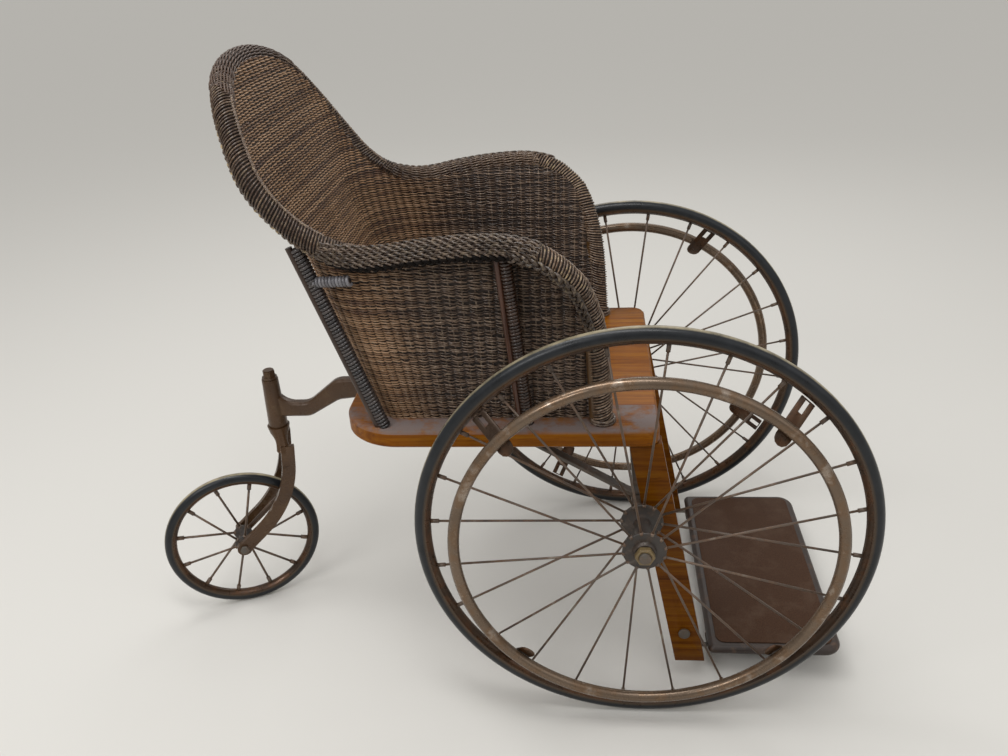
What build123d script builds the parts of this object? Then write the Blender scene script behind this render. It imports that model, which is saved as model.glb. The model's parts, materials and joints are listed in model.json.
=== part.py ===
from build123d import *
from collections import namedtuple
from math import asin, atan2, cos, radians, sin, sqrt, tan
import os

os.makedirs("parts", exist_ok=True)

# An antique wicker invalid chair on two large spoked wheels and one trailing caster.
# Millimetres. +X is forward, +Y is the sitter's left, +Z is up, and the floor is z = 0.
# Places along the chair are given from the main axle, forward positive.

# Main wheels
wheel_radius = 355.6
wheel_half_track = 309.0
wheel_tyre_width = 23.0
wheel_tyre_depth = 19.0
wheel_rim_depth = 7.0
wheel_rim_width = 20.0
wheel_spoke_count = 24
wheel_spoke_diameter = 4.0
wheel_flange_radius = 33.5
wheel_flange_inner = 42.0
wheel_flange_outer = 31.0
wheel_hub_inner = 60.0
wheel_hub_outer = 39.0
wheel_hub_radius = 13.5
right_wheel_turn = 2.3
left_wheel_turn = 16.0

# Hand rims
hand_rim_inset = 66.6
hand_rim_offset = 41.0
hand_rim_tube = 18.0
bracket_count = 4
bracket_width = 26.0
bracket_thickness = 3.0
bracket_overhang = 12.0
bracket_slot_width = 8.0
bracket_slot_length = 20.0
bracket_slot_back = 12.0
bracket_seat = 0.75

# Caster
caster_radius = 148.0
caster_tyre_width = 20.0
caster_tyre_depth = 17.0
caster_rim_depth = 6.0
caster_rim_width = 16.0
caster_spoke_count = 12
caster_spoke_diameter = 5.0
caster_flange_radius = 17.5
caster_flange_offset = 19.0
caster_hub_half = 28.0
caster_hub_radius = 10.0
caster_head_back = 672.0
caster_trail = 107.0
caster_turn = 23.0
caster_axle_diameter = 10.0
caster_bolt_head = 6.0
caster_bolt_radius = 9.0
fork_blade_thickness = 10.0
fork_blade_width = 25.0
fork_shoulder = 8.0
fork_knee = -3.0
fork_knee_height = 233.0
fork_bend_radius = 200.0
fork_eye_radius = 14.0
fork_hub_gap = 2.0
fork_crown_height = 40.0
fork_crown_diameter = 42.0
stem_diameter = 18.0
sleeve_bottom = 384.0
sleeve_height = 98.0
sleeve_top_diameter = 30.0
sleeve_bottom_diameter = 36.0
stem_nut_height = 12.0
stem_washer_height = 4.0
stem_washer_radius = 14.0
stem_nut_across = 20.0
stem_tip = 2.0

# Caster arm
arm_width = 20.0
arm_edge = 4.0
arm_low_bottom = 405.0
arm_low_top = 434.0
arm_root_rise = 28.0
arm_root_forward = 28.0
arm_low_forward = 68.0
arm_shoulder_back = 66.0
arm_shoulder_depth = 42.0
arm_end_depth = 26.0
arm_bend = 36.0
arm_seat_overlap = 72.0

# Axle and its fittings
axle_bar = 20.0
axle_shoulder_gap = 2.0
spindle_diameter = 18.0
spindle_tip = 3.8
axle_nut_across = 27.0
axle_nut_height = 10.0
clip_thickness = 5.0
clip_width = 24.0
strut_thickness = 6.0
strut_width = 20.0
strut_leg_gap = 2.0
strut_rear = -245.0
strut_heel = 15.0
strut_foot = 50.0
strut_bend = 28.0

# Seat frame
seat_top = 510.0
seat_thickness = 28.0
seat_front = 27.0
seat_rear = -478.0
seat_wheel_gap = 47.5
seat_rear_corner = 95.0
seat_front_corner = 25.0
seat_upper_edge = 4.0
seat_lower_edge = 3.0
side_rail_width = 86.0
front_rail_depth = 85.0
rear_rail_depth = 70.0
seat_panel_thickness = 12.0
seat_panel_drop = 2.0
seat_panel_corner = 90.0

# Legs
leg_top_forward = 5.0
leg_lean = 10.8
leg_width = 50.0
leg_thickness = 28.0
leg_hub_gap = 9.0
leg_bottom = 40.0

# Footboard
board_rear = 122.0
board_front = 350.0
board_leg_inset = 5.0
board_top = 66.0
board_thickness = 18.0
board_front_corner = 30.0
board_rear_corner = 10.0
board_edge_bevel = 6.0
cover_inset = 14.0
cover_thickness = 2.0
hinge_height = 104.0
hinge_bolt_diameter = 10.0
hinge_head_radius = 10.0
hinge_head_height = 5.0
hinge_nut_height = 8.0
hinge_shoulder_radius = 9.0
iron_thickness = 6.0
iron_width = 26.0
iron_leg_gap = 5.0
iron_reach = 175.0
iron_flange_width = 30.0

# Wicker tub
tub_thickness = 12.0
tub_seat_inset = 43.0
tub_front = -60.0
tub_back = -430.0
back_lean = 18.3
rim_roll_diameter = 36.0
rim_roll_sides = 8
post_diameter = 23.0
brace_diameter = 18.0
rim_bend_share = 0.45

# Clearances and shares used all over
running_clearance = 0.05
seat_gap = 0.2
spoke_seat_gap = 0.7
tread_share = 0.42
shoulder_share = 0.35
rim_taper = 0.6
spoke_sides = 6
small_sides = 12
flange_half = 2.5
hand_rim_sides = 8

# What follows from the driving dimensions
caster_angle = radians(caster_turn)
caster_tread_half = tread_share * caster_tyre_width / 2
caster_reach = (
    caster_head_back
    + (caster_trail + caster_radius) * cos(caster_angle)
    + caster_tread_half * sin(caster_angle)
)
axle_x = (caster_reach - max(wheel_radius, board_front)) / 2
seat_bottom = seat_top - seat_thickness
head_x = axle_x - caster_head_back
hand_rim_radius = wheel_radius - hand_rim_inset
spindle_half = wheel_half_track + wheel_hub_outer + seat_gap + axle_nut_height + spindle_tip
hub_end = wheel_half_track - wheel_hub_inner
axle_bar_half = hub_end - axle_shoulder_gap
leg_outer = hub_end - leg_hub_gap
leg_inner = leg_outer - leg_thickness
leg_middle = (leg_outer + leg_inner) / 2
strut_inset = leg_inner - strut_leg_gap - strut_width / 2
board_half_width = leg_outer - board_leg_inset
seat_half_width = wheel_half_track - wheel_tyre_width / 2 - seat_wheel_gap
tub_half_width = seat_half_width - tub_seat_inset

UP = Vector(0, 0, 1)
SIDES = (("right", -1), ("left", 1))


def save(piece, name):
    """Label a finished piece and write it as its own file."""
    piece.part.label = name
    export_step(piece.part, f"parts/{name}.step")


def side_plane(y):
    """A plane facing the right side of the chair: local x is forward of the axle, local y is up."""
    return Plane(origin=(axle_x, y, 0), x_dir=(1, 0, 0), z_dir=(0, -1, 0))


def leg_x(z):
    """Forward place of a leg's centreline at a height."""
    return leg_top_forward + (seat_bottom - z) * tan(radians(leg_lean))


# Wheels: two main wheels and the caster wheel share one pattern of tyre, rim, wire spokes and hub
Wheel = namedtuple(
    "Wheel",
    "name centre forward axle radius tyre_width tyre_depth rim_depth rim_width "
    "spokes spoke_diameter flange_radius flanges hub_ends hub_radius bore turn",
)
caster_forward = Vector(cos(caster_angle), sin(caster_angle), 0)
caster_axis = Vector(-sin(caster_angle), cos(caster_angle), 0)
caster_centre = Vector(head_x, 0, caster_radius) - caster_forward * caster_trail
main_turns = {"right": right_wheel_turn, "left": left_wheel_turn}

wheels = []
for side_name, side in SIDES:
    wheels.append(
        Wheel(
            name=f"{side_name}_wheel",
            centre=Vector(axle_x, side * wheel_half_track, wheel_radius),
            forward=Vector(1, 0, 0),
            axle=Vector(0, 1, 0),
            radius=wheel_radius,
            tyre_width=wheel_tyre_width,
            tyre_depth=wheel_tyre_depth,
            rim_depth=wheel_rim_depth,
            rim_width=wheel_rim_width,
            spokes=wheel_spoke_count,
            spoke_diameter=wheel_spoke_diameter,
            flange_radius=wheel_flange_radius,
            flanges=(side * wheel_flange_outer, -side * wheel_flange_inner),
            hub_ends=(side * wheel_hub_outer, -side * wheel_hub_inner),
            hub_radius=wheel_hub_radius,
            bore=spindle_diameter / 2 + running_clearance,
            turn=main_turns[side_name],
        )
    )
wheels.append(
    Wheel(
        name="caster_wheel",
        centre=caster_centre,
        forward=caster_forward,
        axle=caster_axis,
        radius=caster_radius,
        tyre_width=caster_tyre_width,
        tyre_depth=caster_tyre_depth,
        rim_depth=caster_rim_depth,
        rim_width=caster_rim_width,
        spokes=caster_spoke_count,
        spoke_diameter=caster_spoke_diameter,
        flange_radius=caster_flange_radius,
        flanges=(-caster_flange_offset, caster_flange_offset),
        hub_ends=(-caster_hub_half, caster_hub_half),
        hub_radius=caster_hub_radius,
        bore=caster_axle_diameter / 2 + running_clearance,
        turn=0.0,
    )
)

for wheel in wheels:
    section_plane = Plane(
        origin=wheel.centre, x_dir=wheel.axle, z_dir=wheel.axle.cross(UP)
    )
    spin_axis = Axis(wheel.centre, wheel.axle)
    tyre_seat = wheel.radius - wheel.tyre_depth
    rim_inner = tyre_seat - seat_gap - wheel.rim_depth

    # Solid rubber tyre with a rounded crown, set into the rim
    with BuildPart() as tyre:
        half = wheel.tyre_width / 2
        with BuildSketch(section_plane):
            with BuildLine():
                Polyline(
                    (-half * tread_share, wheel.radius),
                    (half * tread_share, wheel.radius),
                    (half, wheel.radius - shoulder_share * wheel.tyre_depth),
                    (wheel.rim_width / 2, tyre_seat),
                    (-wheel.rim_width / 2, tyre_seat),
                    (-half, wheel.radius - shoulder_share * wheel.tyre_depth),
                    close=True,
                )
            make_face()
        revolve(axis=spin_axis)
    save(tyre, f"{wheel.name}_tyre")

    # Steel rim, narrower towards the hub
    with BuildPart() as rim:
        half = wheel.rim_width / 2
        with BuildSketch(section_plane):
            with BuildLine():
                Polyline(
                    (-half, tyre_seat - seat_gap),
                    (half, tyre_seat - seat_gap),
                    (half * rim_taper, rim_inner),
                    (-half * rim_taper, rim_inner),
                    close=True,
                )
            make_face()
        revolve(axis=spin_axis)
    save(rim, f"{wheel.name}_rim")

    # Straight wire spokes from the two hub flanges in turn to the middle of the rim
    with BuildPart() as spokes:
        for index in range(wheel.spokes):
            angle = radians(wheel.turn + (index + 0.5) * 360 / wheel.spokes)
            ray = wheel.forward * cos(angle) + UP * sin(angle)
            hub_end = (
                wheel.centre
                + ray * (wheel.flange_radius + spoke_seat_gap)
                + wheel.axle * wheel.flanges[index % 2]
            )
            rim_end = wheel.centre + ray * (rim_inner - spoke_seat_gap)
            spoke_line = rim_end - hub_end
            with BuildSketch(Plane(origin=hub_end, z_dir=spoke_line)):
                RegularPolygon(wheel.spoke_diameter / 2, spoke_sides)
            extrude(amount=spoke_line.length)
    save(spokes, f"{wheel.name}_spokes")

    # Turned hub: a slim barrel with two spoke flanges and a bore for the axle
    with BuildPart() as hub:
        low, high = sorted(wheel.hub_ends)
        with BuildSketch(section_plane):
            with Locations(((low + high) / 2, wheel.hub_radius / 2 + wheel.bore / 2)):
                Rectangle(high - low, wheel.hub_radius - wheel.bore)
            for flange in wheel.flanges:
                with Locations((flange, (wheel.flange_radius + wheel.bore) / 2)):
                    Rectangle(2 * flange_half, wheel.flange_radius - wheel.bore)
        revolve(axis=spin_axis)
    save(hub, f"{wheel.name}_hub")

# Hand rims, each carried outside its wheel by slotted sheet brackets
for (side_name, side), wheel in zip(SIDES, wheels):
    spin_axis = Axis(wheel.centre, wheel.axle)
    section_plane = Plane(
        origin=wheel.centre, x_dir=wheel.axle, z_dir=wheel.axle.cross(UP)
    )
    with BuildPart() as hand_rim:
        with BuildSketch(section_plane):
            with Locations((side * hand_rim_offset, hand_rim_radius)):
                RegularPolygon(
                    hand_rim_tube / 2,
                    hand_rim_sides,
                    major_radius=False,
                    rotation=180 / hand_rim_sides,
                )
        revolve(axis=spin_axis)
    save(hand_rim, f"{side_name}_hand_rim")

    # Each bracket leaves the outer edge of the wheel rim and runs past the inner side of the hand rim tube
    rim_inner = wheel_radius - wheel_tyre_depth - seat_gap - wheel_rim_depth
    foot_sag = bracket_width**2 / (8 * rim_inner)
    foot_radius = rim_inner - seat_gap - foot_sag - bracket_seat
    foot_offset = wheel_rim_width / 2 * rim_taper - bracket_thickness / 2
    inward = foot_radius - hand_rim_radius
    outward = hand_rim_offset - foot_offset
    tube_distance = sqrt(inward**2 + outward**2)
    tube_corner = hand_rim_tube / 2 / cos(radians(180 / hand_rim_sides))
    tube_clear = tube_corner + seat_gap + bracket_thickness / 2
    slope = atan2(outward, inward) - asin(tube_clear / tube_distance)
    bracket_length = sqrt(tube_distance**2 - tube_clear**2) + bracket_overhang
    with BuildPart() as brackets:
        for index in range(bracket_count):
            angle = radians(wheel.turn + (index + 0.5) * 360 / bracket_count)
            ray = wheel.forward * cos(angle) + UP * sin(angle)
            tangent = UP * cos(angle) - wheel.forward * sin(angle)
            run = wheel.axle * (side * sin(slope)) - ray * cos(slope)
            foot = wheel.centre + ray * foot_radius + wheel.axle * (side * foot_offset)
            normal = run.cross(tangent)
            plate = Plane(
                origin=foot - normal * (bracket_thickness / 2), x_dir=run, z_dir=normal
            )
            with BuildSketch(plate):
                with Locations((bracket_length / 2, 0)):
                    Rectangle(bracket_length, bracket_width)
                with Locations((bracket_length, 0)):
                    RegularPolygon(bracket_width / 2, small_sides)
                with Locations((bracket_slot_back, 0)):
                    Rectangle(bracket_slot_length, bracket_slot_width, mode=Mode.SUBTRACT)
            extrude(amount=bracket_thickness)
    save(brackets, f"{side_name}_hand_rim_brackets")

# Caster fork: stem, spreading crown and two bent blades with eyes for the axle bolt
blade_middle = caster_hub_half + fork_hub_gap + fork_blade_thickness / 2
fork_top = sleeve_bottom - seat_gap
crown_bottom = fork_top - fork_crown_height
stem_top = sleeve_bottom + sleeve_height + stem_washer_height + stem_nut_height + stem_tip


def fork_plane(lateral):
    """A plane along the caster wheel: local x is ahead of the swivel axis, local y is up."""
    return Plane(
        origin=Vector(head_x, 0, 0) + caster_axis * lateral,
        x_dir=caster_forward,
        z_dir=-caster_axis,
    )


with BuildPart() as caster_fork:
    with BuildSketch(Plane(origin=(head_x, 0, crown_bottom), x_dir=caster_forward)):
        RectangleRounded(
            fork_blade_width, 2 * blade_middle + fork_blade_thickness, fork_blade_width / 3
        )
    with BuildSketch(Plane(origin=(head_x, 0, fork_top), x_dir=caster_forward)):
        Circle(fork_crown_diameter / 2)
    loft(ruled=True)
    # The crown is open below as an arch between the blades
    with BuildSketch(
        Plane(
            origin=Vector(head_x, 0, crown_bottom) - caster_forward * fork_crown_diameter,
            x_dir=caster_axis,
            z_dir=caster_forward,
        )
    ):
        Circle(blade_middle - fork_blade_thickness / 2)
    extrude(amount=2 * fork_crown_diameter, mode=Mode.SUBTRACT)
    with BuildSketch(Plane.XY.offset(fork_top)):
        with Locations((head_x, 0)):
            Circle(stem_diameter / 2)
    extrude(amount=stem_top - fork_top)
    for lateral in (-blade_middle, blade_middle):
        with BuildSketch(fork_plane(lateral + fork_blade_thickness / 2)):
            with BuildLine():
                FilletPolyline(
                    (fork_shoulder, crown_bottom + fork_crown_height / 4),
                    (fork_knee, fork_knee_height),
                    (-caster_trail, caster_radius),
                    radius=fork_bend_radius,
                )
            trace(line_width=fork_blade_width)
            with Locations((-caster_trail, caster_radius)):
                Circle(fork_eye_radius)
                Circle(caster_axle_diameter / 2 + running_clearance, mode=Mode.SUBTRACT)
        extrude(amount=fork_blade_thickness)
save(caster_fork, "caster_fork")

# Washer and nut that hold the stem in its sleeve
washer_bottom = sleeve_bottom + sleeve_height + seat_gap
with BuildPart() as caster_nut:
    with BuildSketch(Plane.XY.offset(washer_bottom)):
        with Locations((head_x, 0)):
            RegularPolygon(stem_washer_radius, small_sides)
    extrude(amount=stem_washer_height)
    with BuildSketch(Plane.XY.offset(washer_bottom + stem_washer_height)):
        with Locations((head_x, 0)):
            RegularPolygon(stem_nut_across / 2, 6, major_radius=False)
    extrude(amount=stem_nut_height)
    with BuildSketch(Plane.XY.offset(washer_bottom)):
        with Locations((head_x, 0)):
            Circle(stem_diameter / 2 + running_clearance)
    extrude(amount=stem_washer_height + stem_nut_height, mode=Mode.SUBTRACT)
save(caster_nut, "caster_nut")

# Axle bolt of the caster wheel, with a head and a nut outside the fork's eyes
bolt_grip = blade_middle + fork_blade_thickness / 2
with BuildPart() as caster_axle:
    with BuildSketch(fork_plane(bolt_grip)):
        with Locations((-caster_trail, caster_radius)):
            Circle(caster_axle_diameter / 2)
    extrude(amount=2 * bolt_grip)
    for lateral in (bolt_grip + caster_bolt_head, -bolt_grip):
        with BuildSketch(fork_plane(lateral)):
            with Locations((-caster_trail, caster_radius)):
                RegularPolygon(caster_bolt_radius, 6)
        extrude(amount=caster_bolt_head)
save(caster_axle, "caster_axle")

# Caster arm: an S-shaped bar in one piece with the sleeve, bolted flat under the rear seat rail
with BuildPart() as caster_arm:
    arm_root = -caster_head_back
    arm_tip = seat_rear + arm_seat_overlap
    with BuildSketch(side_plane(arm_width / 2)):
        with BuildLine():
            upper_edge = FilletPolyline(
                (arm_root, arm_low_top + arm_root_rise),
                (arm_root + arm_root_forward, arm_low_top),
                (arm_root + arm_low_forward, arm_low_top),
                (seat_rear - arm_shoulder_back, seat_bottom),
                (arm_tip, seat_bottom),
                radius=arm_bend,
            )
            lower_edge = FilletPolyline(
                (arm_root, arm_low_bottom),
                (arm_root + arm_low_forward, arm_low_bottom),
                (seat_rear - arm_shoulder_back, seat_bottom - arm_shoulder_depth),
                (arm_tip, seat_bottom - arm_end_depth),
                radius=arm_bend,
            )
            Line(upper_edge @ 0, lower_edge @ 0)
            Line(upper_edge @ 1, lower_edge @ 1)
        make_face()
    extrude(amount=arm_width)
    chamfer(caster_arm.faces().filter_by(Axis.Y).edges(), length=arm_edge)
    with BuildSketch(Plane.XY.offset(sleeve_bottom)):
        with Locations((head_x, 0)):
            Circle(sleeve_bottom_diameter / 2)
    with BuildSketch(Plane.XY.offset(sleeve_bottom + sleeve_height)):
        with Locations((head_x, 0)):
            Circle(sleeve_top_diameter / 2)
    loft()
    with BuildSketch(Plane.XY.offset(sleeve_bottom)):
        with Locations((head_x, 0)):
            Circle(stem_diameter / 2 + running_clearance)
    extrude(amount=sleeve_height, mode=Mode.SUBTRACT)
save(caster_arm, "caster_arm")

# Seat frame: one outline with rounded corners, sawn into four rails round the opening for the panel
rail_inner = seat_half_width - side_rail_width
panel_front = seat_front - front_rail_depth
panel_rear = seat_rear + rear_rail_depth
with BuildSketch() as panel_outline:
    with Locations((axle_x + (panel_front + panel_rear) / 2, 0)):
        Rectangle(panel_front - panel_rear, 2 * rail_inner)
    fillet(panel_outline.vertices().group_by(Axis.X)[0], radius=seat_panel_corner)

with BuildPart() as seat_outline:
    with BuildSketch(Plane.XY.offset(seat_bottom)):
        with Locations((axle_x + (seat_front + seat_rear) / 2, 0)):
            Rectangle(seat_front - seat_rear, 2 * seat_half_width)
        fillet(vertices().group_by(Axis.X)[0], radius=seat_rear_corner)
        fillet(vertices().group_by(Axis.X)[-1], radius=seat_front_corner)
    extrude(amount=seat_thickness)
    chamfer(seat_outline.faces().sort_by(Axis.Z)[-1].edges(), length=seat_upper_edge)
    chamfer(seat_outline.faces().sort_by(Axis.Z)[0].edges(), length=seat_lower_edge)
    with BuildSketch(Plane.XY.offset(seat_bottom)):
        add(panel_outline.sketch)
    extrude(amount=seat_thickness, mode=Mode.SUBTRACT)

seat_middle = axle_x + (seat_front + seat_rear) / 2
seat_level = (seat_top + seat_bottom) / 2
for side_name, side in SIDES:
    with BuildPart() as side_rail:
        add(seat_outline.part)
        with Locations((seat_middle, side * (rail_inner + side_rail_width / 2), seat_level)):
            Box(
                seat_front - seat_rear,
                side_rail_width,
                seat_thickness,
                mode=Mode.INTERSECT,
            )
    save(side_rail, f"seat_rail_{side_name}")

with BuildPart() as front_rail:
    add(seat_outline.part)
    with Locations((axle_x + seat_front - front_rail_depth / 2, 0, seat_level)):
        Box(front_rail_depth, 2 * rail_inner, seat_thickness, mode=Mode.INTERSECT)
save(front_rail, "seat_rail_front")

with BuildPart() as rear_rail:
    add(seat_outline.part)
    rear_rail_reach = rear_rail_depth + seat_panel_corner
    with Locations((axle_x + seat_rear + rear_rail_reach / 2, 0, seat_level)):
        Box(rear_rail_reach, 2 * rail_inner, seat_thickness, mode=Mode.INTERSECT)
save(rear_rail, "seat_rail_rear")

# Woven seat panel, let into the frame
panel_top = seat_top - seat_panel_drop
with BuildPart() as seat_panel:
    with BuildSketch(Plane.XY.offset(panel_top - seat_panel_thickness)):
        add(panel_outline.sketch)
    extrude(amount=seat_panel_thickness)
save(seat_panel, "seat_panel")

# Legs, struts, axle clips and hinge bolts, one of each a side
leg_reach = leg_width / 2 / cos(radians(leg_lean))
iron_outer = leg_inner - iron_leg_gap
iron_inner = iron_outer - iron_thickness
hinge_x = leg_x(hinge_height)
bar_half = axle_bar / 2
clip_half = bar_half + clip_thickness
bolt_end = iron_inner - running_clearance - hinge_nut_height

for side_name, side in SIDES:
    # Leaning wooden leg, notched behind for the axle
    with BuildPart() as leg:
        with BuildSketch(side_plane(side * leg_middle + leg_thickness / 2)):
            with BuildLine():
                Polyline(
                    (leg_x(seat_bottom) - leg_reach, seat_bottom),
                    (leg_x(seat_bottom) + leg_reach, seat_bottom),
                    (leg_x(leg_bottom) + leg_reach, leg_bottom),
                    (leg_x(leg_bottom) - leg_reach, leg_bottom),
                    close=True,
                )
            make_face()
            with Locations((0, wheel_radius)):
                Rectangle(axle_bar, axle_bar, mode=Mode.SUBTRACT)
            with Locations((hinge_x, hinge_height)):
                Circle(hinge_bolt_diameter / 2 + running_clearance, mode=Mode.SUBTRACT)
        extrude(amount=leg_thickness)
    save(leg, f"leg_{side_name}")

    # Iron clip round the back of the axle, against the leg
    with BuildPart() as axle_clip:
        with BuildSketch(side_plane(side * leg_middle + clip_width / 2)):
            with BuildLine():
                Polyline(
                    (-clip_half, wheel_radius - clip_half),
                    (leg_x(wheel_radius - clip_half) - leg_reach, wheel_radius - clip_half),
                    (leg_x(wheel_radius + clip_half) - leg_reach, wheel_radius + clip_half),
                    (-clip_half, wheel_radius + clip_half),
                    close=True,
                )
            make_face()
            with Locations((0, wheel_radius)):
                Rectangle(axle_bar, axle_bar, mode=Mode.SUBTRACT)
        extrude(amount=clip_width)
    save(axle_clip, f"axle_clip_{side_name}")

    # Flat iron strut from the axle's top, back and up to the seat's underside
    with BuildPart() as strut:
        strut_low = wheel_radius + bar_half + strut_thickness / 2
        strut_high = seat_bottom - strut_thickness / 2
        with BuildSketch(side_plane(side * strut_inset + strut_width / 2)):
            with BuildLine():
                FilletPolyline(
                    (bar_half, strut_low),
                    (-strut_heel, strut_low),
                    (strut_rear + strut_foot, strut_high),
                    (strut_rear, strut_high),
                    radius=strut_bend,
                )
            trace(line_width=strut_thickness)
        extrude(amount=strut_width)
    save(strut, f"strut_{side_name}")

# Hinge bolts: head outside the leg, shoulder, journal for the footboard iron, nut inside
bolt_steps = (
    # radius, outer end, inner end
    (hinge_head_radius, leg_outer + hinge_head_height, leg_outer),
    (hinge_bolt_diameter / 2, leg_outer, bolt_end),
    (hinge_shoulder_radius, leg_inner, iron_outer + running_clearance),
    (hinge_shoulder_radius, iron_inner - running_clearance, bolt_end),
)
with BuildPart() as hinge_bolts:
    for side_name, side in SIDES:
        for radius, outer_end, inner_end in bolt_steps:
            with BuildSketch(side_plane(max(side * outer_end, side * inner_end))):
                with Locations((hinge_x, hinge_height)):
                    RegularPolygon(radius, small_sides)
            extrude(amount=outer_end - inner_end)
save(hinge_bolts, "hinge_bolts")

# Axle: a square bar across the chair with round spindles for the wheels
with BuildPart() as axle:
    with BuildSketch(side_plane(axle_bar_half)):
        with Locations((0, wheel_radius)):
            Rectangle(axle_bar, axle_bar)
    extrude(amount=2 * axle_bar_half)
    with BuildSketch(side_plane(spindle_half)):
        with Locations((0, wheel_radius)):
            Circle(spindle_diameter / 2)
    extrude(amount=2 * spindle_half)
save(axle, "axle")

nut_start = wheel_half_track + wheel_hub_outer + seat_gap
with BuildPart() as axle_nuts:
    for side_name, side in SIDES:
        with BuildSketch(side_plane(max(side * nut_start, side * (nut_start + axle_nut_height)))):
            with Locations((0, wheel_radius)):
                RegularPolygon(axle_nut_across / 2, 6, major_radius=False)
                Circle(spindle_diameter / 2 + running_clearance, mode=Mode.SUBTRACT)
        extrude(amount=axle_nut_height)
save(axle_nuts, "axle_nuts")

# Footboard with a covered top, hung on two irons that turn on the hinge bolts
board_middle = axle_x + (board_front + board_rear) / 2
board_bottom = board_top - board_thickness
with BuildPart() as footboard:
    with BuildSketch(Plane.XY.offset(board_bottom)):
        with Locations((board_middle, 0)):
            Rectangle(board_front - board_rear, 2 * board_half_width)
        fillet(vertices().group_by(Axis.X)[-1], radius=board_front_corner)
        fillet(vertices().group_by(Axis.X)[0], radius=board_rear_corner)
    extrude(amount=board_thickness)
    chamfer(footboard.faces().filter_by(Axis.Z).edges(), length=board_edge_bevel)
save(footboard, "footboard")

with BuildPart() as footboard_cover:
    with BuildSketch(Plane.XY.offset(board_top)):
        with Locations((board_middle, 0)):
            RectangleRounded(
                board_front - board_rear - 2 * cover_inset,
                2 * (board_half_width - cover_inset),
                board_front_corner - cover_inset,
            )
    extrude(amount=cover_thickness)
save(footboard_cover, "footboard_cover")

for side_name, side in SIDES:
    with BuildPart() as iron:
        iron_middle = (iron_outer + iron_inner) / 2
        iron_low = board_bottom - iron_thickness
        with BuildSketch(side_plane(side * iron_middle + iron_thickness / 2)):
            with BuildLine():
                Polyline(
                    (hinge_x - iron_width / 2, hinge_height),
                    (hinge_x - iron_width / 2, iron_low),
                    (board_rear + iron_width, iron_low),
                    (board_rear + iron_width, board_bottom),
                    (hinge_x + iron_width / 2, board_bottom),
                    (hinge_x + iron_width / 2, hinge_height),
                    close=True,
                )
            make_face()
            with Locations((hinge_x, hinge_height)):
                Circle(iron_width / 2)
                Circle(hinge_bolt_diameter / 2 + running_clearance, mode=Mode.SUBTRACT)
        extrude(amount=iron_thickness)
        flange_middle = iron_outer - iron_flange_width / 2
        with BuildSketch(side_plane(side * flange_middle + iron_flange_width / 2)):
            with Locations((board_rear + iron_reach / 2, board_bottom - iron_thickness / 2)):
                Rectangle(iron_reach, iron_thickness)
        extrude(amount=iron_flange_width)
    save(iron, f"footboard_iron_{side_name}")

# Wicker tub: a U-shaped wall that leans back and flares, ending in a thick rolled rim.
# Flare is how far out a place lies from the side of the tub's foot.
TubLevel = namedtuple("TubLevel", "up flare corner")
tub_levels = (
    TubLevel(up=0, flare=0, corner=50),
    TubLevel(up=276, flare=27, corner=110),
    TubLevel(up=381, flare=95, corner=110),
    TubLevel(up=565, flare=95, corner=110),
)
tub_full_half = tub_half_width + max(level.flare for level in tub_levels)


def tub_back_x(up):
    """Place of the back wall's outer face at a height above the seat."""
    return tub_back - up * tan(radians(back_lean))


# Centreline of the rolled rim on the right half, from the front foot over the arm to the top of the back:
# forward of the axle, flare, above the seat
RimPoint = namedtuple("RimPoint", "forward flare up")
arm_rim = (
    RimPoint(-60, 10, 0),
    RimPoint(-66, 12, 150),
    RimPoint(-85, 30, 215),
    RimPoint(-104, 48, 256),
    RimPoint(-166, 49, 302),
    RimPoint(-296, 40, 297),
    RimPoint(-411, 25, 275),
    RimPoint(-491, 23, 312),
    RimPoint(-546, 30, 381),
)
back_rim = (
    RimPoint(-573, 1, 437),
    RimPoint(-604, -58, 505),
    RimPoint(-622, -150, 534),
)
right_rim = arm_rim + back_rim


def tub_place(point, side):
    """Where a point of the tub lies on one side of the chair."""
    return Vector(axle_x + point.forward, side * (tub_half_width + point.flare), seat_top + point.up)


def bend_radii(path):
    """The largest bend that fits each corner of a path, with a short straight run left beside it."""
    radii = []
    for before, corner, after in zip(path, path[1:], path[2:]):
        incoming = corner - before
        outgoing = after - corner
        half_turn = radians(incoming.get_angle(outgoing)) / 2
        radii.append(rim_bend_share * min(incoming.length, outgoing.length) / tan(half_turn))
    return radii


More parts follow.
